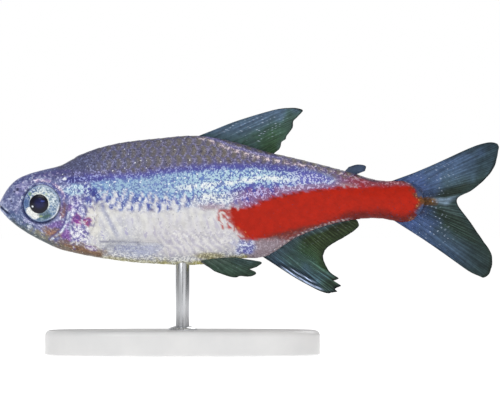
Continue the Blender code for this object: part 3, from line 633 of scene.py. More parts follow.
def paintHead(at):
    lay, x, z, low, fine, mid = at.lay, at.x, at.z, at.low, at.fine, at.mid
    gillX = lineAt([(p[1], p[0]) for p in lines["gillEdge"]], z)
    inHead = smooth(-0.05, 0.12, gillX - x) * smooth(2.9, 2.2, z)
    lay(0.9 * inHead * smooth(2.4, 1.9, z), "#6b6f9e", "#a9add0", 0.42, 0.05)
    for mx, mz, rx, rz, turn, ground, glint, share, strength in headMarks:
        d = oval(x - mx, z - mz, rx, rz, turn) + 0.20 * fine + 0.22 * mid
        lay(strength * smooth(1.18, 0.72, d), ground, glint, share, 0.06)
    wormy = cloud(x + 0.4 * z, z - 0.3 * x, 0.19, 71) + 0.4 * cloud(x, z, 0.11, 72)
    onCover = inHead * smooth(5.5, 5.9, x) * smooth(1.9, 1.4, z)
    pale = (0.62 + 0.2 * smooth(-1.4, -1.9, z)) * onCover * smooth(0.30, 0.50, wormy) * smooth(1.1, 0.5, z)
    lay(pale, "#d2d2dc", "#ececf0", 0.4)
    lay(0.6 * onCover * smooth(0.35, 0.55, -wormy), "#544a92", "#8478bc", 0.22)
    freckle = cloud(x, z, 0.12, 73) + 0.3 * cloud(x, z, 0.3, 74)
    snout = inHead * smooth(5.6, 5.0, x)
    lay(0.5 * snout * smooth(0.42, 0.6, freckle) * smooth(-2.4, -1.2, z), "#a8aed0", "#d2d7ea", 0.4)
    lay(0.55 * snout * smooth(0.40, 0.60, -freckle), "#454a7c", "#6c72a4", 0.2)
    keel = smooth(0.60, 0.16, low + 0.08 * mid) * within(x, 0.6, 1.2, 3.9, 5.0)
    lay(0.90 * keel, "#404c50", "#747d80", 0.32, 0.25)
    keel = smooth(0.40, 0.08, low + 0.08 * mid) * within(x, 3.9, 5.0, 7.6, 8.6)
    lay(0.8 * keel, "#625040", "#84745e", 0.34, 0.25)
    # Painted shade: a soft grey-blue line where the body rises behind the gill opening, with a pale band
    # beside it.
    shoulderShade, _, along = fromLine(x, z, lines["shoulderShade"])
    lay(0.8 * smooth(0.26, 0.06, shoulderShade + 0.06 * mid) * smooth(1.0, 0.7, along), "#a3a6bc", "#c8cad6", 0.34)
    lay(0.7 * near(shoulderShade - 0.34, 0.06, 0.20) * smooth(1.0, 0.7, along), "#dcdbd6", "#e6e6e2", 0.34)
    ridge, side, along = fromLine(x, z, lines["cheek"])
    light = near(ridge, 0.04, 0.12) * smooth(0.42, 0.56, along) * smooth(-0.7, -0.1, fine)
    lay(0.9 * light, "#c8d2e4", "#f4f8fc", 0.5)
    # Painted shade: a dark line in the groove beside the cheek's ridge.
    dark = near(ridge - 0.13, 0.03, 0.09) * (side < 0) * smooth(0.3, 0.45, along)
    lay(0.8 * dark, "#4d4c86", "#7d7fb8", 0.1)


def paintEyeRim(at):
    lay, x, z, fine, mid = at.lay, at.x, at.z, at.fine, at.mid
    rim = np.hypot(x - eye["x"], z - eye["z"]) - eye["radius"]
    turn = np.degrees(np.arctan2(z - eye["z"], x - eye["x"]))
    arc = near(rim - 0.36 + 0.05 * mid, 0.08, 0.17) * within(turn, 5, 25, 100, 125)
    lay(0.85 * arc * smooth(-0.8, -0.2, fine + 0.5 * mid), "#9080ac", "#e2d2e0", 0.48)
    lay(0.6 * near(rim - 0.16, 0.05, 0.12) * within(turn, -40, 0, 80, 120), "#55579a", "#9a9cc8", 0.36)
    shade = 0.06 + 0.86 * smooth(0.7, -0.4, np.cos(np.radians(turn - 30)))
    lay(shade * near(rim - 0.02, 0.04, 0.10), "#2f3764", "#6d7cae", 0.15)
    # Painted highlights: small pale dots along the top of the raised rim round the eye.
    rimHighlights = near(rim - 0.07, 0.05, 0.11) * within(turn, 40, 60, 160, 178)
    lay(0.85 * rimHighlights * smooth(0.0, 0.35, cloud(x, z, 0.13, 75)), "#9fb0d2", "#dfe6f3", 0.5)


# Mouth, nostrils and the pectoral fin's first ray.
def paintMouth(at):
    lay, x, z = at.lay, at.x, at.z
    mouth, _, share = fromLine(x, z, lines["mouth"])
    # Painted shade: a dark line in the slit of the mouth; a pale line runs along the lip beside it.
    lay(0.9 * near(mouth, 0.03, 0.10) * smooth(0.62, 0.42, share), "#2f3454", "#50587c", 0.1)
    lay(0.7 * near(mouth - 0.17, 0.03, 0.08) * smooth(0.6, 0.4, share), "#a8b0cc", "#dfe4f0", 0.4)
    # Painted shade: dark spots in the nostrils and in small pits of the snout.
    for nx, nz, r in shadedPits:
        lay(0.9 * smooth(r + 0.05, r - 0.04, np.hypot(x - nx, z - nz)), "#2c2f4c", "#464b70", 0.05)
    ray, side, along = fromLine(x, z, lines["fin"])
    lay(0.7 * near(ray, 0.03, 0.10) * within(along, 0.0, 0.1, 0.8, 1.0), "#e4e4e2", "#f4f4f4", 0.4)
    dark = near(ray - 0.13, 0.02, 0.07) * (side > 0) * smooth(0.75, 0.55, along)
    lay(0.7 * dark, "#6c6c86", "#9a9ab0", 0.3)


# An olive middle and a violet margin on each scale, strongest on the back, and a painted highlight along the
# back's ridge.
def paintScaleTones(at, rear, across):
    lay, x, z, deep, top = at.lay, at.x, at.z, at.deep, at.top
    onBack = smooth(0.0, 0.5, z - top) * smooth(6.5, 9.0, x)
    centre = onBack * within(rear, 0.48, 0.62, 0.80, 0.92) * near(across, 0.65, 1.05)
    lay(0.55 * onBack * smooth(0.74, 0.92, rear), "#6c6a92", "#918fb6", 0.46, 0.1)
    lay(0.52 * centre, "#6a6454", "#827b6c", 0.38, 0.20)
    lay(0.30 * centre * smooth(12.5, 16.5, x), "#7a7260", "#989080", 0.40, 0.10)
    dash = deep - np.interp(x, *ridgeHighlightLine)
    violet = near(dash + 0.28, 0.05, 0.16) * within(x, 15.0, 16.0, 22.0, 23.5)
    lay(0.75 * violet, "#6d6aa4", "#b6b2e2", 0.44)
    # Painted highlight: pale dashes on the scales' rear margins, in a line just under the back's ridge.
    ridgeHighlight = near(dash, 0.05, 0.20) * within(x, 15.5, 16.5, 27.5, 29.5) * (1 - 0.45 * smooth(23.5, 26.0, x))
    lay(0.85 * ridgeHighlight * smooth(0.60, 0.82, rear), "#8a7890", "#f6e4e4", 0.54)


# Ground, stroke and glint colours of skin and scales at points of the body, seen from its side.
def paintFish(x, z, rear=None, across=None):
    at = flankPoints(x, z)
    for paint in (paintBack, paintBelly, paintStripe, paintRed, paintHead, paintEyeRim, paintMouth):
        paint(at)
    if rear is not None:
        paintScaleTones(at, rear, across)
    return at.layers


# Skin
skin = {"sides": 236, "headStep": 0.082, "bodyStep": 0.135, "headEnd": 8.6, "sunk": -0.05, "flare": 0.12}
nostrils = ((1.18, 1.10, 0.09), (1.45, 1.30, 0.13))  # x, z, radius


# Distance ahead of the gill cover's rear edge, minus behind it.
def insideGill(x, z):
    table = np.array(lines["gillEdge"])
    below, here, over = (eased(table[:, 1], table[:, 0], z + step) for step in (-0.1, 0.0, 0.1))
    lean = (over - below) / 0.2
    return (here - x) / np.sqrt(1 + lean * lean)


# How far the skin stands out or in at the head: gill cover, cheek, eye socket, mouth, nostrils.
def skinRelief(x, z):
    inside = insideGill(x, z)
    flare = skin["flare"] * smooth(5.2, 7.2, x) * bell(z, -0.6, 2.3)
    relief = (flare + 0.05) * smooth(-0.04, 0.10, inside) - 0.04 * bell(inside, -0.10, 0.09)
    ridge, side, along = fromLine(x, z, lines["cheek"])
    fade = np.sin(np.pi * np.clip(along, 0.02, 0.98)) ** 0.5
    relief += fade * (0.06 * bell(ridge, 0.0, 0.09) - 0.05 * bell(ridge, 0.15, 0.07) * (side < 0))
    brow, _, along = fromLine(x, z, lines["brow"])
    relief += 0.05 * np.sin(np.pi * along) * bell(brow, 0.0, 0.12)
    out = np.hypot(x - eye["x"], z - eye["z"]) - eye["radius"]
    relief += 0.06 * bell(out, 0.10, 0.09) - 0.03 * bell(out, 0.32, 0.10) - 0.85 * smooth(0.05, -0.16, out)
    mouth, _, share = fromLine(x, z, lines["mouth"])
    relief += smooth(0.70, 0.45, share) * (0.055 * bell(mouth, 0.16, 0.09) - 0.15 * bell(mouth, 0.0, 0.055))
    jaw, _, share = fromLine(x, z, lines["jaw"])
    relief -= 0.045 * np.sin(np.pi * np.clip(share, 0.03, 1)) * bell(jaw, 0.0, 0.07)
    jaw, _, share = fromLine(x, z, lines["upperJaw"])
    relief += 0.035 * bell(jaw, 0.0, 0.14) * smooth(1.0, 0.6, share)
    for nx, nz, r in nostrils:
        far = np.hypot(x - nx, z - nz)
        relief += 0.035 * bell(far, r + 0.05, 0.05) - 0.14 * bell(far, 0.0, r * 0.8)
    return relief * smooth(9.3, 8.4, x)


def makeSkin(material):
    sides, stop = skin["sides"], body["end"]
    snout, tail = np.linspace(0.0, 1.0, 22)[1:] ** 2, np.linspace(1.0, 0.0, 12)[:-1] ** 2
    head = np.arange(0.9 + skin["headStep"], skin["headEnd"], skin["headStep"])
    rest = np.arange(skin["headEnd"], stop - 0.5, skin["bodyStep"])
    xs = np.r_[snout * 0.9, head, rest, stop - 0.5 * tail]
    turns = np.linspace(0.0, 2 * np.pi, sides, endpoint=False)
    x, turn = (g.ravel() for g in np.meshgrid(xs, turns, indexing="ij"))
    shell = bodyShell(x, turn)
    flank = np.clip(np.abs(np.sin(turn)) * 1.6, 0.0, 1.0)
    out = skin["sunk"] * smooth(0.0, 1.0, x) + skinRelief(shell[:, 0], shell[:, 2]) * flank
    out += 0.012 * cloud(x, shell[:, 2], 0.5, 41) * smooth(0.3, 1.5, x)
    ends = [(0.0, 0.0, 0.0), (stop, 0.0, bodySection(np.array([stop]))[2][0])]
    points = np.r_[shell + shellNormal(x, turn) * out[:, None], ends]
    faces, tested = capped(len(xs), sides), 60 * sides
    faces = facing(points, faces, tested, points[faces[tested][0]] * (0, 1, 1))
    piece = buildPiece("skin", points, faces, paintFish(points[:, 0], points[:, 2]))
    finished(piece, material, "skin", "head", "trunk", "tail_stem")
    print("skin:", len(faces), "faces")


# Scales
scales = {
    "start": 5.3,
    "stop": 33.3,
    "pitch": 0.80,
    "rowHeight": 0.92,
    "rows": 15,
    "middleRow": 0.47,  # as a share of the way round the flank, from the back
    "length": 1.36,
    "bow": 0.40,
    "overlap": 1.30,
    "along": (0.0, 0.36, 0.50, 0.63, 0.76, 0.88, 1.0),
    "across": 7,
    "lift": 0.050,
    "thick": 0.020,
    "shake": ((-0.03, -0.03, 0.0), (0.03, 0.03, 0.006)),
    "seed": 4,
    "bakePatch": 0.003,
}


# One thin scale in a flat frame, with a round rear edge and its front end sunk.
def makeScalePlate(form):
    rows, wide, length = len(form["along"]), form["across"], form["length"]
    marks = [(u, v) for u in form["along"] for v in np.linspace(-1.0, 1.0, wide)]
    grid, n = [], len(marks)
    for u, v in marks:
        back = u * (length - form["bow"] * v * v) - length / 2
        grid.append((back, v * form["overlap"] / 2, form["lift"] * u * (1 - 0.3 * v * v)))
    grid += [(x, y, z - form["thick"]) for x, y, z in grid]
    rim = gridRim(rows, wide)
    faces = [tuple(f) for f in gridFaces(rows, wide, False)[:, ::-1]]
    faces += [(p, p + n, q + n, q) for p, q in zip(rim, rim[1:] + rim[:1])]
    faces += [tuple(p + n for p in rim[::-1])]
    mesh = bpy.data.meshes.new("scalePlate")
    mesh.from_pydata(grid, [], faces)
    return newObject("scalePlate", mesh), np.array(marks + marks)


# Geometry Nodes lay the scales out flat in staggered rows, one pitch and one row apart.
def makeScaleField(form, plate, material):
    tree = bpy.data.node_groups.new("scaleField", "GeometryNodeTree")
    given = {
        "Columns": ("Int", int((form["stop"] - form["start"]) / form["pitch"]) + 1),
        "Rows": ("Int", form["rows"]),
        "Pitch": ("Float", form["pitch"]),
        "Seed": ("Int", form["seed"]),
        "Scale": ("Object", plate),
    }
    values = {}
    for name, (kind, value) in given.items():
        socket = tree.interface.new_socket(name, in_out="INPUT", socket_type="NodeSocket" + kind)
        values[socket.identifier] = value
    tree.interface.new_socket("Geometry", in_out="OUTPUT", socket_type="NodeSocketGeometry")
    inputs = node(tree, "NodeGroupInput").outputs
    rows, index = inputs["Rows"], node(tree, "GeometryNodeInputIndex").outputs[0]
    row = maths(tree, "MODULO", index, rows)
    column = maths(tree, "FLOOR", maths(tree, "DIVIDE", index, rows))
    staggered = maths(tree, "MULTIPLY_ADD", maths(tree, "MODULO", row, 2.0), 0.5, column)
    where = node(tree, "CombineXYZ", X=maths(tree, "MULTIPLY", staggered, inputs["Pitch"]), Y=row)
    low, high = form["shake"]
    jitter = node(tree, "FunctionNodeRandomValue", {"data_type": "FLOAT_VECTOR"}, Min=low, Max=high,
                  Seed=inputs["Seed"])
    grid = node(tree, "GeometryNodeMeshGrid", Vertices_X=inputs["Columns"], Vertices_Y=rows)
    moved = node(tree, "GeometryNodeSetPosition", Geometry=grid.outputs[0], Position=where.outputs[0],
                 Offset=jitter.outputs[0])
    shape = node(tree, "GeometryNodeObjectInfo", Object=inputs["Scale"]).outputs["Geometry"]
    spread = node(tree, "GeometryNodeInstanceOnPoints", Points=moved.outputs[0], Instance=shape)
    real = node(tree, "GeometryNodeRealizeInstances", Geometry=spread.outputs[0])
    dressed = node(tree, "GeometryNodeSetMaterial", Geometry=real.outputs[0], Material=material)
    node(tree, "NodeGroupOutput", Geometry=dressed.outputs[0])
    holder = newObject("scaleField", bpy.data.meshes.new("scaleField"))
    modifier = holder.modifiers.new("Scales", "NODES")
    modifier.node_group = tree
    for identifier, value in values.items():
        modifier[identifier] = value
    graph = bpy.context.evaluated_depsgraph_get()
    mesh = bpy.data.meshes.new_from_object(holder.evaluated_get(graph))
    points = np.empty(len(mesh.vertices) * 3)
    mesh.vertices.foreach_get("co", points)
    for gone in (holder, plate):
        bpy.data.objects.remove(gone)
    return points.reshape(-1, 3), [tuple(p.vertices) for p in mesh.polygons]


# The flat field wrapped round the body: x, turn and height of each point. The middle row is mid-flank.
def wrapScales(form, flat):
    xs, turns = np.linspace(form["start"] - 1.0, body["end"] - 0.02, 160), np.linspace(0.0, np.pi, 181)
    shell = bodyShell(*np.meshgrid(xs, turns, indexing="ij"))
    steps = np.linalg.norm(np.diff(shell, axis=1), axis=2)
    arc = np.concatenate([np.zeros((len(xs), 1)), np.cumsum(steps, axis=1)], 1)  # way round from the back
    whole = arc[:, -1]

    def rowSize(x):
        around = np.interp(x, xs, whole)
        return around, form["rowHeight"] * (0.42 + 0.58 * around / whole.max())

    centre = flat.mean(axis=1)
    nearest = np.round(centre[:, 1])
    row = nearest - (form["rows"] - 1) / 2
    x, rootX = (np.clip(v + form["start"], xs[0], xs[-1]) for v in (flat[..., 0], centre[:, 0]))
    around, size = rowSize(x)
    down = form["middleRow"] * around + (row[:, None] + (flat[..., 1] - nearest[:, None])) * size
    down = np.clip(down, 0.004, around - 0.004)
    around, size = rowSize(rootX)
    rootDown = form["middleRow"] * around + row * size
    keep = (rootDown > -0.25 * size) & (rootDown < around + 0.25 * size)
    keep &= x.max(axis=1) < form["stop"] + 0.45
    x, down = x[keep], down[keep]
    share = (x - xs[0]) / (xs[1] - xs[0])
    low = np.clip(share.astype(int), 0, len(xs) - 2)
    turn = np.empty_like(x)
    for at in np.ndindex(x.shape):
        i, part = low[at], share[at] - low[at]
        turn[at] = np.interp(down[at], arc[i] * (1 - part) + arc[i + 1] * part, turns)
    return x, turn, flat[keep][..., 2]


# Lays the scales round each flank, apart from those that would lie on the gill cover.
def makeScales(material):
    form = scales
    plate, marks = makeScalePlate(form)
    flat, faces = makeScaleField(form, plate, material)
    each = len(marks)
    flat = flat.reshape(-1, each, 3)
    pattern = faces[: len(faces) // len(flat)]
    x, turn, high = wrapScales(form, flat)
    base = bodyShell(x, turn)
    inside = insideGill(base[..., 0], base[..., 2])
    most, middle = inside.max(axis=1), base.mean(axis=1)
    clear = (inside.min(axis=1) < 0.02) & ((most < 0.75) | (middle[:, 2] > 2.4))
    clear &= (most <= 0.55) | (middle[:, 0] >= 6.0)
    x, turn, high, inside, base = (a[clear] for a in (x, turn, high, inside, base))
    sunk = 0.10 * smooth(0.0, 0.5, inside)  # front ends slip under the gill cover
    base = base + shellNormal(x, turn) * (skin["sunk"] + 0.012 + high - sunk)[..., None]
    points, number, patch = base.reshape(-1, 3), len(x), form["bakePatch"]
    rear, across = (np.tile(marks[:, k], number) for k in (0, 1))
    layers = paintFish(points[:, 0], points[:, 2], rear, across)
    faces = [tuple(v + i * each for v in face) for i in range(number) for face in pattern]
    u = np.repeat(x.mean(axis=1) / body["end"], each) + patch * (rear - 0.5)
    v = np.repeat(turn.mean(axis=1) / np.pi, each) * 0.94 + 0.03 + patch * 0.5 * across
    uv = np.stack([u, v], -1)
    for word, flank in (("Left", -1), ("Right", 1)):
        placed = points * (1, flank, 1)
        ordered = facing(placed, faces, number // 2 * len(pattern), (0, flank, 0))
        piece = buildPiece("scales" + word, placed, ordered, layers, 60)
        bake = piece.data.uv_layers.new(name="OFBake")
        corner = np.empty(len(piece.data.loops), int)
        piece.data.loops.foreach_get("vertex_index", corner)
        bake.data.foreach_set("uv", uv[corner].astype(np.float32).ravel())
        finished(piece, material, "skin")
        print("scales", word, number, "plates", sum(len(f) - 2 for f in faces), "triangles")


# Eyes
eyeLook = {
    "rings": 72,
    "sides": 144,
    "grainScale": 11000.0,
    "grain": (0.80, 1.18),
    "smearScale": 2500.0,
    "roughness": (0.26, 0.36),
    "specular": 0.2,
    "coat": 0.15,
    "coatRoughness": 0.03,
    "bumpScale": 7000.0,
    "bump": 0.05,
    "bumpDepth": 0.00001,
}


# The plane through the skin round the eye: its middle, and its lean in x and z.
def eyePlane():
    around = np.linspace(0, 2 * np.pi, 48, endpoint=False)
    dx, dz = (eye["radius"] + 0.05) * np.cos(around), (eye["radius"] + 0.05) * np.sin(around)
    x, z = eye["x"] + dx, eye["z"] + dz
    return np.linalg.lstsq(np.stack([np.ones(48), dx, dz], -1), widthAt(x, z), rcond=None)[0]


# Colours of the eye at places from its middle.
def paintEye(x, z):
    r, angle = np.hypot(x, z) / eye["radius"], np.arctan2(z, x)
    across, up = np.cos(angle), np.sin(angle)
    colour = np.ones((len(r), 4))
    fine, mid = cloud(x, z, 0.075, 51), cloud(x, z, 0.17, 52)
    wool = cloud(x, z, 0.10, 55) + 0.7 * cloud(x, z, 0.05, 56)

    def lay(mask, code):
        mask = np.clip(mask, 0.0, 1.0)[:, None]
        colour[:, :3] = colour[:, :3] * (1 - mask) + mask * tone(code)

    def patch(px, pz, rx, rz, turn, blur=0.25):
        return smooth(1 + blur, 1 - blur, oval(x - px, z - pz, rx, rz, turn) + 0.10 * fine)

    # iris
    lay(np.ones(len(r)), "#bccbd5")
    lay(0.94 * smooth(-0.10, 0.55, -across + 0.25 * mid), "#3d5d97")
    lay(0.9 * smooth(0.05, 0.7, -up + 0.2 * mid), "#3f5c72")
    lay(0.75 * patch(0.85, -0.45, 0.30, 0.45, 20), "#5474a4")
    lay(0.85 * smooth(0.05, 0.40, wool) * smooth(-0.5, 0.35, up + 0.6 * across), "#e2eaec")
    lay(0.55 * smooth(0.25, 0.55, wool) * smooth(0.3, -0.5, up), "#9fb6c4")
    light = smooth(0.5, 0.9, np.cos(angle - 2.0)) * smooth(0.78, 0.60, r) * smooth(-0.3, 0.2, wool)
    lay(0.7 * light, "#e6eadf")
    lay(0.68 * smooth(0.2, 0.55, -wool), "#5f7c9b")
    lay(0.45 * smooth(0.35, 0.7, -wool) * smooth(0.5, 0.7, r), "#3c5478")
    lay(0.65 * patch(-0.95, 0.84, 0.13, 0.20, 30), "#8fb07a")
    lay(0.75 * patch(-0.05, -0.98, 0.20, 0.10, 0), "#93a468")
    lay(0.75 * patch(0.42, -1.00, 0.34, 0.13, 20), "#3a594c")
    lay(0.60 * patch(0.42, 0.78, 0.10, 0.08, 0), "#b3c49a")
    # Painted reflection: a near-white patch low in front of the pupil, laid into the iris's colour.
    lay(0.97 * patch(-0.70, -0.76, 0.61, 0.39, -36, 0.10), "#e4e6e3")
    lay(0.6 * patch(0.15, -0.80, 0.5, 0.13, 10), "#41586a")
    # rings round the iris
    lay(0.75 * smooth(0.84, 0.90, r + 0.03 * mid) * smooth(0.97, 0.94, r), "#8fa3c6")
    # Painted highlight: a pale arc on the iris's rim at its lower rear.
    light = smooth(0.86, 0.91, r + 0.04 * fine) * smooth(0.99, 0.96, r)
    lay(0.85 * light * smooth(0.80, 0.95, np.cos(angle + 0.5)), "#eef2f4")
    # A dark ring round the iris, with painted shade making it much darker on its lower front side.
    away = smooth(0.7, -0.4, np.cos(angle - 0.7))
    lay((0.12 + 0.82 * away) * smooth(0.945, 0.975, r + 0.055 * away + 0.012 * mid), "#222e5a")
    # pupil, with its light ring and reflections
    px = x + eye["forward"]
    pr = np.hypot(px, z) / eye["pupil"]
    ring = 0.12 + 0.70 * smooth(-0.2, 0.8, 0.70 * up + 0.72 * across)
    lay(ring * smooth(0.09, 0.04, np.abs(pr - 1.06) + 0.05 * fine), "#e2e6dc")
    lay(smooth(1.02, 0.98, pr), "#0d0c1e")
    lay(0.85 * smooth(1.05, 0.3, oval(px - 0.05, z - 0.02, 0.60, 0.52)), "#191c4e")
    lay(0.75 * smooth(1.0, 0.4, oval(px - 0.28, z - 0.22, 0.24, 0.08)), "#4a56a8")
    lay(0.5 * smooth(1.0, 0.4, oval(px - 0.1, z - 0.40, 0.20, 0.05)), "#343c7c")
    lay(0.95 * smooth(1.2, 0.7, oval(px + 0.52, z + 0.21, 0.08, 0.07)), "#e8eef6")
    return {"ground": colour}


def makeEyeMaterial(look):
    material, tree, shader = newMaterial("wetEye")
    ground = attribute(tree, "ground")
    grain = ramp(tree, noise(tree, look["grainScale"], 2.0, 0.6), 0.35, 0.65, *look["grain"])
    smears = ramp(tree, noise(tree, look["smearScale"], 2.0, 0.5, 0.03), 0.3, 0.7, *look["roughness"])
    feed(tree, shader, Base_Color=shaded(tree, ground, grain), Roughness=smears, Coat_Weight=look["coat"],
         Coat_Roughness=look["coatRoughness"], Specular_IOR_Level=look["specular"])
    bumped(tree, shader, noise(tree, look["bumpScale"], 2.0, 0.5, 0.011), look["bump"], look["bumpDepth"])
    return material


def makeEyes():
    material = makeEyeMaterial(eyeLook)
    base, leanX, leanZ = eyePlane()
    rings, sides, radius, dome = eyeLook["rings"], eyeLook["sides"], eye["radius"], eye["dome"]
    around = np.linspace(0, 2 * np.pi, sides, endpoint=False)
    ball = (radius ** 2 + dome ** 2) / (2 * dome)

    def ringPoints(share, turn, height):
        x, z = share * radius * np.cos(turn), share * radius * np.sin(turn)
        return np.stack([eye["x"] + x, base + leanX * x + leanZ * z + height - eye["sunk"], eye["z"] + z], -1)

    share, turn = (g.ravel() for g in np.meshgrid(np.linspace(0, 1, rings + 1)[1:], around, indexing="ij"))
    x, z = share * radius * np.cos(turn), share * radius * np.sin(turn)
    pr = np.hypot(x + eye["forward"], z) / eye["pupil"]
    height = np.sqrt(ball ** 2 - x ** 2 - z ** 2) - (ball - dome)
    height += 0.05 * np.sqrt(np.maximum(1 - pr ** 2, 0)) - 0.02 * bell(pr, 1.0, 0.06)
    height -= 0.10 * smooth(0.95, 1.0, share)
    back = [ringPoints(wide, around, -deep) for wide, deep in ((0.98, 0.25), (0.80, 0.45), (0.45, 0.55))]
    peak = base + dome - eye["sunk"] + 0.05 * math.sqrt(1 - (eye["forward"] / eye["pupil"]) ** 2)
    ends = [[eye["x"], peak, eye["z"]], [eye["x"], base - eye["sunk"] - 0.58, eye["z"]]]
    points = np.r_[ringPoints(share, turn, height), np.concatenate(back), ends]
    faces = capped(rings + 3, sides)
    layers = paintEye(points[:, 0] - eye["x"], points[:, 2] - eye["z"])
    for word, flank in (("left", -1), ("right", 1)):
        placed = points * (1, flank, 1)
        ordered = facing(placed, faces, sides + 5, (0, flank, 0))
        piece = buildPiece("eye" + word.title(), placed, ordered, layers)
        finished(piece, material, "eye", "eye_" + word)
    print("eyes made")


# Fins. A ray runs from the root line to the tip line: its place in the fan, then x and z.
finShape = {
    "perRay": 12,
    "rows": 72,
    "membrane": 0.038,
    "ray": 0.068,
    "soft": 0.15,
    "thinnest": 0.012,
    "wave": 0.05,
}
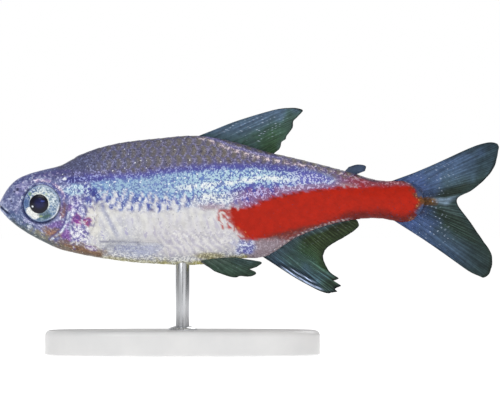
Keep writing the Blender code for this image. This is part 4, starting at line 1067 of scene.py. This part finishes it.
# bands are tones across the fan, base and end those of roots and tips, and edge is where the dark rim starts.
# dots are pale joints: their share, and from where to where along the rays. contrast is that of front and
# rear rays. ragged is how unevenly they end.
fins = {
    "dorsalFin": {
        "node": "dorsal_fin",
        "rays": 11,
        "root": ((0.0, 15.3, 5.3), (0.1, 16.2, 5.05), (0.25, 17.3, 4.75), (0.5, 19.0, 4.3), (1.0, 21.7, 3.5)),
        "tip": ((0.0, 17.0, 5.97), (0.04, 18.6, 6.61), (0.1, 21.4, 7.48), (0.2, 23.3, 7.78),
                (0.3, 24.24, 7.60), (0.40, 23.80, 7.04), (0.47, 23.46, 6.64), (0.51, 23.44, 6.30),
                (0.61, 23.16, 5.82), (0.68, 22.92, 5.46), (0.71, 22.88, 5.30), (0.79, 22.52, 5.00),
                (0.83, 22.46, 4.70), (1.0, 21.88, 4.13)),
        "ragged": 0.006,
        "bands": ((0.0, "#4a6073"), (0.12, "#536880"), (0.24, "#4c6272"), (0.34, "#435d58"),
                  (0.5, "#385341"), (1.0, "#2f4a28")),
        "base": "#455c62", "end": "#40544f", "endBelow": 0.30, "dots": (0.66, 0.35, 0.70), "dotFan": 0.52,
        "contrast": (0.30, 0.32),
    },
    "adiposeFin": {
        "node": "adipose_fin",
        "rays": 7,
        "root": ((0.0, 27.2, 2.3), (1.0, 28.0, 2.25)),
        "tip": ((0.0, 27.9, 3.05), (0.35, 28.6, 3.24), (0.7, 29.26, 3.11), (1.0, 29.2, 2.72)),
        "ragged": 0.0, "soft": True,
        "bands": ((0.0, "#3d4a60"), (1.0, "#41506a")),
        "base": "#4a5a72", "end": "#2f3b50", "dots": (0.0, 0.3, 0.5), "contrast": (0.0, 0.0),
    },
    "analFin": {
        "node": "anal_fin",
        "rays": 20,
        "root": ((0.0, 20.4, -3.75), (0.1, 21.1, -3.45), (0.4, 22.7, -2.6), (0.7, 24.7, -1.75),
                 (1.0, 28.0, -0.8)),
        "tip": ((0.0, 21.9, -4.72), (0.04, 23.4, -5.70), (0.09, 25.0, -6.60), (0.15, 26.1, -7.06),
                (0.20, 26.75, -7.02), (0.215, 27.04, -6.94), (0.228, 26.85, -6.78), (0.25, 27.33, -6.46),
                (0.268, 26.6, -6.22), (0.285, 26.5, -6.15), (0.30, 27.04, -5.94), (0.33, 26.75, -5.65),
                (0.38, 26.4, -5.35), (0.46, 26.05, -4.75), (0.54, 25.86, -4.15), (0.62, 26.05, -3.6),
                (0.72, 26.7, -3.06), (0.82, 27.6, -2.55), (0.90, 28.35, -2.05), (0.96, 28.73, -1.62),
                (1.0, 28.6, -1.25)),
        "ragged": 0.008, "edge": 0.945,
        "streakLine": ((20.4, -3.75), (21.9, -4.72), (23.4, -5.70), (25.0, -6.60), (26.1, -7.06)),
        # streaks: distance off the line, half width, from x, to x
        "streaks": ((0.15, 0.10, 22.3, 26.0), (0.44, 0.07, 23.0, 25.4)),
        "bands": ((0.0, "#2e3d4c"), (0.05, "#384d60"), (0.10, "#4d677b"), (0.28, "#4a675f"),
                  (0.42, "#3f5a42"), (0.65, "#36462b"), (1.0, "#2a301f")),
        "base": "#566d7c", "end": "#26331f", "dots": (0.10, 0.2, 0.6), "contrast": (0.95, 0.75),
    },
    "tailFin": {
        "node": "tail_fin_upper",
        "also": "tail_fin_lower",
        "rays": 23,
        "root": ((0.0, 31.0, 1.80), (0.2, 32.4, 1.1), (0.5, 33.4, 0.26), (0.8, 32.4, -0.6),
                 (1.0, 31.2, -1.05)),
        "tip": ((0.0, 34.4, 3.04), (0.05, 36.9, 4.26), (0.10, 38.4, 4.86), (0.14, 39.3, 5.03),
                (0.165, 39.78, 4.94), (0.185, 39.93, 4.68), (0.215, 39.87, 4.2), (0.275, 39.60, 3.15),
                (0.35, 38.85, 2.1), (0.425, 37.8, 1.2), (0.5, 36.55, 0.35), (0.575, 37.65, -1.38),
                (0.65, 38.62, -2.8), (0.715, 39.28, -3.80), (0.735, 39.38, -4.12), (0.79, 39.33, -5.1),
                (0.82, 39.12, -5.56), (0.85, 38.74, -5.84), (0.875, 38.42, -5.74), (0.91, 37.6, -5.36),
                (0.95, 36.5, -4.60), (1.0, 34.5, -3.15)),
        "ragged": 0.004, "fork": True,
        "bands": ((0.0, "#4b6180"), (0.16, "#4d6384"), (0.30, "#465c6a"), (0.37, "#2b3934"),
                  (0.425, "#27332d"), (0.450, "#3f5052"), (0.470, "#72879a"), (0.498, "#72879a"),
                  (0.515, "#3f5052"), (0.56, "#2a3731"), (0.68, "#33453f"), (0.80, "#42566a"),
                  (1.0, "#465b84")),
        "base": "#50659a", "end": "#2a3b3c", "dots": (0.58, 0.10, 0.44), "edge": 0.955,
        "contrast": (0.34, 0.34),
    },
    "pelvicFin": {
        "node": "pelvic_fin_",
        "rays": 8,
        "root": ((0.0, 16.1, -4.50), (0.25, 16.8, -4.28), (1.0, 18.8, -4.22)),
        "tip": ((0.0, 17.2, -5.30), (0.1, 18.3, -5.70), (0.2, 19.0, -5.78), (0.26, 19.2, -5.68),
                (0.36, 20.0, -5.72), (0.45, 20.5, -5.47), (0.53, 20.25, -5.28), (0.58, 19.85, -5.20),
                (0.64, 20.2, -5.08), (0.78, 20.7, -4.86), (0.9, 20.9, -4.56), (1.0, 20.0, -4.42)),
        "ragged": 0.01, "fromMiddle": 0.72, "spread": 0.75, "trailingIn": 0.42,
        "bands": ((0.0, "#40574a"), (0.5, "#3a4e44"), (1.0, "#43575a")),
        "base": "#55675f", "end": "#28382c", "dots": (0.12, 0.2, 0.6), "contrast": (0.30, 0.45),
    },
    "pectoralFin": {
        "node": "pectoral_fin_",
        "rays": 9,
        "root": ((0.0, 7.95, -2.75), (1.0, 8.05, -3.45)),
        "tip": ((0.0, 12.7, -3.00), (0.2, 13.2, -3.25), (0.45, 12.8, -3.68), (0.7, 12.0, -4.02),
                (1.0, 10.6, -4.12)),
        "ragged": 0.01, "fromMiddle": 1.22, "spread": 1.35, "trailingIn": 0.20, "clear": True,
        "bands": ((0.0, "#c4c4c8"), (0.06, "#aab0c6"), (1.0, "#b4bad0")),
        "base": "#b8bcd0", "end": "#b0b8d0", "dots": (0.0, 0.3, 0.5), "contrast": (0.30, 0.30),
    },
}


# A fin's colours: bands across its fan, then root, tips, edges, streaks and the fork's brown patch.
def paintFin(form, side, grid, fan, along):
    gx, gz = grid[..., 0], grid[..., 2]
    colour = np.ones((*gx.shape, 4))
    clear, fork = form.get("clear"), form.get("fork")

    def lay(mask, code):
        mask = np.clip(np.broadcast_to(mask, gx.shape), 0, 1)[..., None]
        colour[..., :3] = colour[..., :3] * (1 - mask) + mask * tone(code)

    patch = cloud(gx, gz, 0.7, 61)
    places, codes = zip(*form["bands"])
    bands = np.array([tone(code) for code in codes])
    at = np.clip(fan + (0.02 if fork else 0.08) * patch, 0, 1)
    colour[..., :3] = np.stack([np.interp(at, places, bands[:, k]) for k in range(3)], -1)
    far = along + 0.08 * patch
    lay(0.75 * smooth(0.45, 0.10, far), form["base"])
    below = form.get("endBelow", -1.0)
    lay(0.75 * smooth(0.68, 0.98, far) * smooth(below - 0.12, below + 0.12, fan), form["end"])
    lay(0.92 * smooth(form.get("edge", 0.965), 0.985, along), "#a0a8c0" if clear else "#141b1c")
    for off, wide, first, last in form.get("streaks", ()):  # pale glints along the leading edge
        away = fromLine(gx, gz, form["streakLine"])[0] - off
        glint = within(gx, first, first + 0.6, last - 0.6, last)
        lay(0.75 * glint * near(away - 0.17, wide, wide + 0.10), "#16202c")
        lay(0.95 * glint * near(away, 0.4 * wide, wide), "#b4c5e4")
    if not clear:
        lay(0.85 * smooth(0.020, 0.002, fan) * (1 - smooth(0.9, 1, along)), "#182029")
    if not side:
        lay(0.85 * smooth(0.022, 0.002, 1 - fan) * smooth(0.1, 0.3, along), "#141b1f")
    if fork:
        lay(0.7 * smooth(0.60, 0.90, far) * smooth(0.30, 0.20, fan), "#283840")
        lay(0.66 * smooth(0.45, 0.85, far) * smooth(0.55, 0.70, fan), "#24312b")
        fleck = cloud(gx, gz, 0.16, 62)
        centre = oval(gx - 34.05, gz - 0.30, 0.95, 0.46) + 0.2 * patch + 0.12 * fleck
        lay(0.92 * smooth(1.15, 0.62, centre), "#68441a")
        lay(0.7 * smooth(34.2, 33.5, gx + 0.2 * fleck) * near(gz - 0.3, 0.8, 1.2), "#4c3a2c")
        lay(0.7 * smooth(0.55, 0.75, fleck) * smooth(1.15, 0.8, centre), "#a07a3c")
    first, last = form["contrast"]
    if fork:
        last = last + 0.45 * within(fan, 0.50, 0.54, 0.64, 0.78) + 0.3 * within(fan, 0.2, 0.3, 0.44, 0.5)
    colour[..., 3] = first + (last - first) * smooth(0.15, 0.6, fan)
    return colour


# One fin: a blade whose rays are ridges on both faces. side is -1, 1 or, in the middle, 0.
def makeFin(name, form, side, materials):
    rays, rows, soft = form["rays"], finShape["rows"], form.get("soft")
    columns = (rays - 1) * finShape["perRay"] + 1
    fan = np.linspace(0.0, 1.0, columns)[:, None]
    along = np.linspace(0.0, 1.0, rows + 1)[None, :]

    def curve(table):
        table = np.array(table, float)
        return np.stack([eased(table[:, 0], table[:, k], fan) for k in (1, 2)], -1)

    start, end = curve(form["root"]), curve(form["tip"])
    number = fan * (rays - 1)
    offset = np.abs(number - np.round(number))
    lengths = 1 - form["ragged"] * np.random.default_rng(len(name) + rays).random(rays)
    reach = lengths[np.round(number).astype(int)] - 0.8 * form["ragged"] * (1 - np.cos(offset * np.pi))
    sheet = start + (end - start) * (along * reach)[..., None]
    length = np.linalg.norm(end - start, axis=-1) * along
    ridge = bell(offset, 0.22 * smooth(0.25, 0.8, along), 0.11)
    half = finShape["membrane"] * (1 - 0.45 * along) + finShape["ray"] * ridge * (1 - 0.72 * along)
    half = half * (1 + 0.5 * smooth(0.06, 0.0, fan))
    if soft:
        half = finShape["soft"] * (1 - 0.75 * along) * (1 - 0.5 * np.abs(2 * fan - 1) ** 3)
    half = np.maximum(half * (1 - 0.75 * smooth(0.97, 1.0, along)), finShape["thinnest"])
    grid = np.zeros((columns, rows + 1, 3))
    grid[..., 0], grid[..., 2] = sheet[..., 0], sheet[..., 1]
    normal = np.array((0.0, 1.0, 0.0))
    if side:
        bend = 1 - (1 - along) ** 2
        grid[..., 1] = side * (form["fromMiddle"] + form["spread"] * bend - form["trailingIn"] * fan)
        normal = np.cross(np.gradient(grid, axis=1), np.gradient(grid, axis=0)).mean(axis=(0, 1))
        normal /= np.linalg.norm(normal)
    else:
        wave = np.sin(3.2 * grid[..., 0] + 2.0 * grid[..., 2])
        grid[..., 1] += finShape["wave"] * wave * smooth(0.2, 1.0, along)
    thick = normal * half[..., None]
    points = np.concatenate([(grid + thick).reshape(-1, 3), (grid - thick).reshape(-1, 3)])
    n, quads = columns * (rows + 1), gridFaces(columns, rows + 1, False)
    rim = np.roll(gridRim(columns, rows + 1)[::-1], 1)
    after = np.roll(rim, -1)
    faces = np.concatenate([quads[:, ::-1], quads + n, np.stack([rim, after, after + n, rim + n], -1)])
    faces = facing(points, faces, len(quads) // 2, normal)
    share, dotsFrom, dotsTo = form["dots"]
    share = share * smooth(0.1, -0.1, fan - form.get("dotFan", 2.0))
    dots = share * within(along, dotsFrom - 0.15, dotsFrom + 0.05, dotsTo - 0.05, dotsTo + 0.2)
    marks = np.stack(np.broadcast_arrays(number, length, along, dots), -1).reshape(-1, 4)
    colour = paintFin(form, side, grid, fan, along).reshape(-1, 4)
    piece = buildPiece(name, points, faces, {"ground": np.r_[colour, colour], "ray": np.r_[marks, marks]}, 70)
    kind = "clear" if form.get("clear") else "soft" if soft else "rayed"
    finished(piece, materials[kind], "fin")
    return piece


finLook = {
    "roughness": {"rayed": 0.45, "soft": 0.45, "clear": 0.35},
    "mottleScale": 3000.0,
    "mottle": (0.80, 1.16),
    "streaks": (0.76, 1.22),
    "joint": (0.48, 0.56, 0.70, 1.0),
    "jointBreaks": 2600.0,
    "jointsPerMillimetre": 2.9,
    "coat": 0.04,
    "specular": 0.12,
    "softBumpScale": 6000.0,
    "bump": 0.25,
    "bumpDepth": 0.00002,
    "clearness": (0.22, 0.10),  # what a clear fin's rays add to its opacity, and its skin's own
}


# How much a point lies on a ray, which forks twice, and on one of the ray's pale joints.
def rayPattern(tree, look):
    mark = attribute(tree, "ray")
    number, length, along = node(tree, "SeparateColor", Color=mark.outputs["Color"]).outputs

    def apart(value, other):
        return maths(tree, "ABSOLUTE", maths(tree, "SUBTRACT", value, other))

    off = apart(maths(tree, "FRACT", maths(tree, "ADD", number, 0.5)), 0.5)
    once = apart(off, ramp(tree, along, 0.15, 0.7, 0.0, 0.23))
    twice = apart(once, ramp(tree, along, 0.45, 0.95, 0.0, 0.115))
    joint = apart(maths(tree, "FRACT", maths(tree, "MULTIPLY", length, look["jointsPerMillimetre"])), 0.5)
    dots = maths(tree, "MULTIPLY", ramp(tree, joint, 0.20, 0.11), ramp(tree, once, 0.11, 0.05))
    return ramp(tree, twice, 0.085, 0.03), maths(tree, "MULTIPLY", dots, mark.outputs["Alpha"])


# Uneven streaks that run along the rays.
def streakNoise(tree):
    mark = attribute(tree, "ray")
    drawn = stretched(tree, mark.outputs["Vector"], (1.3, 0.30, 0.0))
    return node(tree, "TexNoise", Vector=drawn, Scale=1.5, Detail=3.0).outputs["Fac"]


def makeFinMaterial(name, look):
    material, tree, shader = newMaterial(name + "Fin")
    ground = attribute(tree, "ground")
    mottle = ramp(tree, noise(tree, look["mottleScale"], 3.0, 0.65), 0.3, 0.7, *look["mottle"])
    line, dots = rayPattern(tree, look)
    shade, height = mottle, noise(tree, look["softBumpScale"], 2.0, 0.6, 0.009)
    if name != "soft":
        raised = maths(tree, "MULTIPLY", maths(tree, "SUBTRACT", line, 0.5), ground.outputs["Alpha"])
        shade = maths(tree, "MULTIPLY", mottle, maths(tree, "ADD", raised, 1.0))
        shade = maths(tree, "MULTIPLY", shade, ramp(tree, streakNoise(tree), 0.34, 0.66, *look["streaks"]))
        height = maths(tree, "ADD", line, mottle)
    breaks = noise(tree, look["jointBreaks"], 1.0, 0.5, 0.02)
    broken = maths(tree, "MULTIPLY", dots, ramp(tree, breaks, 0.46, 0.62))
    feed(tree, shader, Base_Color=mixed(tree, broken, shaded(tree, ground, shade), look["joint"]),
         Roughness=look["roughness"][name], Coat_Weight=look["coat"], Specular_IOR_Level=look["specular"])
    bumped(tree, shader, height, look["bump"], look["bumpDepth"])
    if name == "clear":
        feed(tree, shader, Alpha=maths(tree, "MULTIPLY_ADD", line, *look["clearness"]))
    return material


def makeFins():
    materials = {name: makeFinMaterial(name, finLook) for name in finLook["roughness"]}
    for name, form in fins.items():
        if form["node"].endswith("_"):
            for word, side in (("left", -1), ("right", 1)):
                piece = makeFin(name + word.title(), form, side, materials)
                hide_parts(form["node"] + word)
        else:
            piece = makeFin(name, form, 0, materials)
            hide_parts(*[form[k] for k in ("node", "also") if k in form])
    print("fins made")


# Stand
stand = {
    "middle": 14.6,
    "length": 22.0,
    "width": 13.0,
    "height": 2.0,
    "squareness": 2.6,
    "round": 0.45,
    "chamfer": 0.12,
    "sides": 192,
    "rodRadius": 0.55,
    "rodTop": -3.2,
    "rodSides": 48,
    "collar": 1.15,
    "collarSides": 64,
    "lacquer": ((0.70, 0.70, 0.70, 1.0), (0.76, 0.755, 0.75, 1.0)),
    "lacquerRoughness": (0.30, 0.40),
    "lacquerBump": 0.08,
    "steel": ((0.52, 0.53, 0.55, 1.0), (0.66, 0.67, 0.69, 1.0)),
    "steelRoughness": (0.22, 0.42),
    "brushed": (9000.0, 9000.0, 300.0),
}


# A closed piece turned round the rod's line, from pairs of a radius and a height. With a squareness it is
# an oval of the stand's length and width instead, and the radii are insets from its edge.
def turned(name, profile, sides, squareness=None):
    turn = np.linspace(0, 2 * np.pi, sides, endpoint=False)
    across, out = np.cos(turn), np.sin(turn)
    points = []
    for radius, height in profile:
        a = b = radius
        if squareness:
            reach = (np.abs(across) ** squareness + np.abs(out) ** squareness) ** (-1 / squareness)
            a, b = (stand["length"] / 2 - radius) * reach, (stand["width"] / 2 - radius) * reach
        points.append(np.stack([stand["middle"] + a * across, b * out, np.full(sides, height)], -1))
    ends = [(stand["middle"], 0, profile[0][1]), (stand["middle"], 0, profile[-1][1])]
    return buildPiece(name, np.r_[np.concatenate(points), ends], capped(len(profile), sides), None, 40)


def makeLacquer():
    material, tree, shader = newMaterial("paleLacquer")
    cloudy = ramp(tree, noise(tree, 220.0, 4.0, 0.6), 0.3, 0.7)
    gloss = ramp(tree, noise(tree, 900.0, 3.0, 0.6, 0.02), 0.3, 0.7, *stand["lacquerRoughness"])
    feed(tree, shader, Base_Color=mixed(tree, cloudy, *stand["lacquer"]), Roughness=gloss)
    bumped(tree, shader, noise(tree, 1600.0, 3.0, 0.5, 0.01), stand["lacquerBump"], 0.00003)
    return material


def makeSteel():
    material, tree, shader = newMaterial("brushedSteel")
    where = node(tree, "TexCoord").outputs["Object"]
    brushed = node(tree, "Mapping", Vector=where, Scale=stand["brushed"]).outputs[0]
    grain = node(tree, "TexNoise", Vector=brushed, Scale=1.0, Detail=3.0).outputs["Fac"]
    feed(tree, shader, Base_Color=mixed(tree, ramp(tree, grain, 0.3, 0.7), *stand["steel"]),
         Roughness=ramp(tree, grain, 0.3, 0.7, *stand["steelRoughness"]), Metallic=1.0)
    return material


def makeStand():
    floor, r, bevel = -place["snoutHeight"], stand["round"], stand["chamfer"]
    top = floor + stand["height"]
    profile = [(bevel, floor), (0.0, floor + bevel), (0.0, top - r)]
    profile += [(r * (1 - math.cos(t)), top - r + r * math.sin(t)) for t in np.linspace(0.15, math.pi / 2, 9)]
    profile += [(stand["width"] / 2 - 1.0, top)]
    base = turned("standBase", profile, stand["sides"], stand["squareness"])
    finished(base, makeLacquer(), "base", "stand_base")
    steel, radius, end, c = makeSteel(), stand["rodRadius"], stand["rodTop"], stand["collar"]
    profile = [(radius * 0.9, top - 1.2), (radius, top - 1.1), (radius, end - 0.1), (radius * 0.85, end)]
    finished(turned("standRod", profile, stand["rodSides"]), steel, "rod", "stand_rod")
    profile = [(c, top - 0.05), (c, top + 0.10), (c - 0.08, top + 0.18)]
    profile += [(radius + 0.12, top + 0.30), (radius - 0.1, top + 0.32)]
    finished(turned("standCollar", profile, stand["collarSides"]), steel, "rod")
    print("stand made")


# Floor, light and camera
studio = {
    "floorHalf": 1.5,
    "paper": ((0.50, 0.50, 0.50, 1.0), (0.54, 0.54, 0.54, 1.0)),
    "paperRoughness": (0.85, 0.95),
    "paperShine": 0.1,
    "paperGlow": 0.86,
    "lamps": {  # place, size, power
        "key": ((-0.10, -0.22, 0.20), 0.16, 0.28),
        "fill": ((0.14, -0.24, 0.06), 0.20, 0.10),
        "top": ((0.0, 0.0, 0.26), 0.24, 0.15),
        "backKey": ((0.10, 0.22, 0.20), 0.16, 0.24),
        "backFill": ((-0.14, 0.24, 0.06), 0.20, 0.10),
    },
    "world": 0.31,
    "sky": 1.0,
    "distance": 0.5,
    "frameWide": 0.040,
    "aimHeight": 0.0124,
    "sensor": 36.0,
    "clip": (0.01, 10.0),
}


def makeFloor():
    half = studio["floorHalf"]
    corners = [(-half, -half, 0), (half, -half, 0), (half, half, 0), (-half, half, 0)]
    mesh = bpy.data.meshes.new("floor")
    mesh.from_pydata(corners, [], [(0, 1, 2, 3)])
    paper, tree, shader = newMaterial("floorPaper")
    fibre = ramp(tree, noise(tree, 900.0, 4.0, 0.6), 0.3, 0.7)
    matt = ramp(tree, noise(tree, 400.0, 2.0, 0.6, 0.3), 0.3, 0.7, *studio["paperRoughness"])
    feed(tree, shader, Base_Color=mixed(tree, fibre, *studio["paper"]), Roughness=matt,
         Specular_IOR_Level=studio["paperShine"], Emission_Color=(1.0, 1.0, 1.0, 1.0),
         Emission_Strength=studio["paperGlow"])
    bumped(tree, shader, fibre, 0.05, 0.00005)
    mesh.materials.append(paper)
    floor = newObject("floor", mesh)


# A plain world that the camera sees lighter than it shines.
def makeWorld():
    world = bpy.data.worlds.new("studio")
    world.use_nodes = True
    air = world.node_tree
    seen = node(air, "LightPath").outputs["Is Camera Ray"]
    strength = node(air, "MapRange", Value=seen, To_Min=studio["world"], To_Max=studio["sky"]).outputs[0]
    feed(air, air.nodes["Background"], Strength=strength, Color=(1.0, 1.0, 1.0, 1.0))
    bpy.context.scene.world = world


def makeStudio():
    makeFloor()
    makeWorld()
    for name, (at, size, power) in studio["lamps"].items():
        lamp = bpy.data.lights.new(name, "AREA")
        lamp.size, lamp.energy = size, power
        made = newObject(name, lamp)
        made.location = at
        aim = np.array((0.0, 0.0, studio["aimHeight"])) - at
        made.rotation_euler = Vector(aim).to_track_quat("-Z", "Y").to_euler()
    camera = bpy.data.cameras.new("camera")
    camera.sensor_width = studio["sensor"]
    camera.lens = camera.sensor_width * studio["distance"] / studio["frameWide"]
    camera.clip_start, camera.clip_end = studio["clip"]
    view = newObject("camera", camera)
    view.location = (0.0, -studio["distance"], studio["aimHeight"])
    view.rotation_euler = (math.pi / 2, 0.0, 0.0)
    bpy.context.scene.camera = view
    bpy.context.scene.view_settings.view_transform = "Standard"
    print("studio made")


makeStudio()
flecked = makeFleckedSkin("fleckedSkin", fleckLook)
makeSkin(flecked)
makeScales(flecked)
makeEyes()
makeFins()
makeStand()
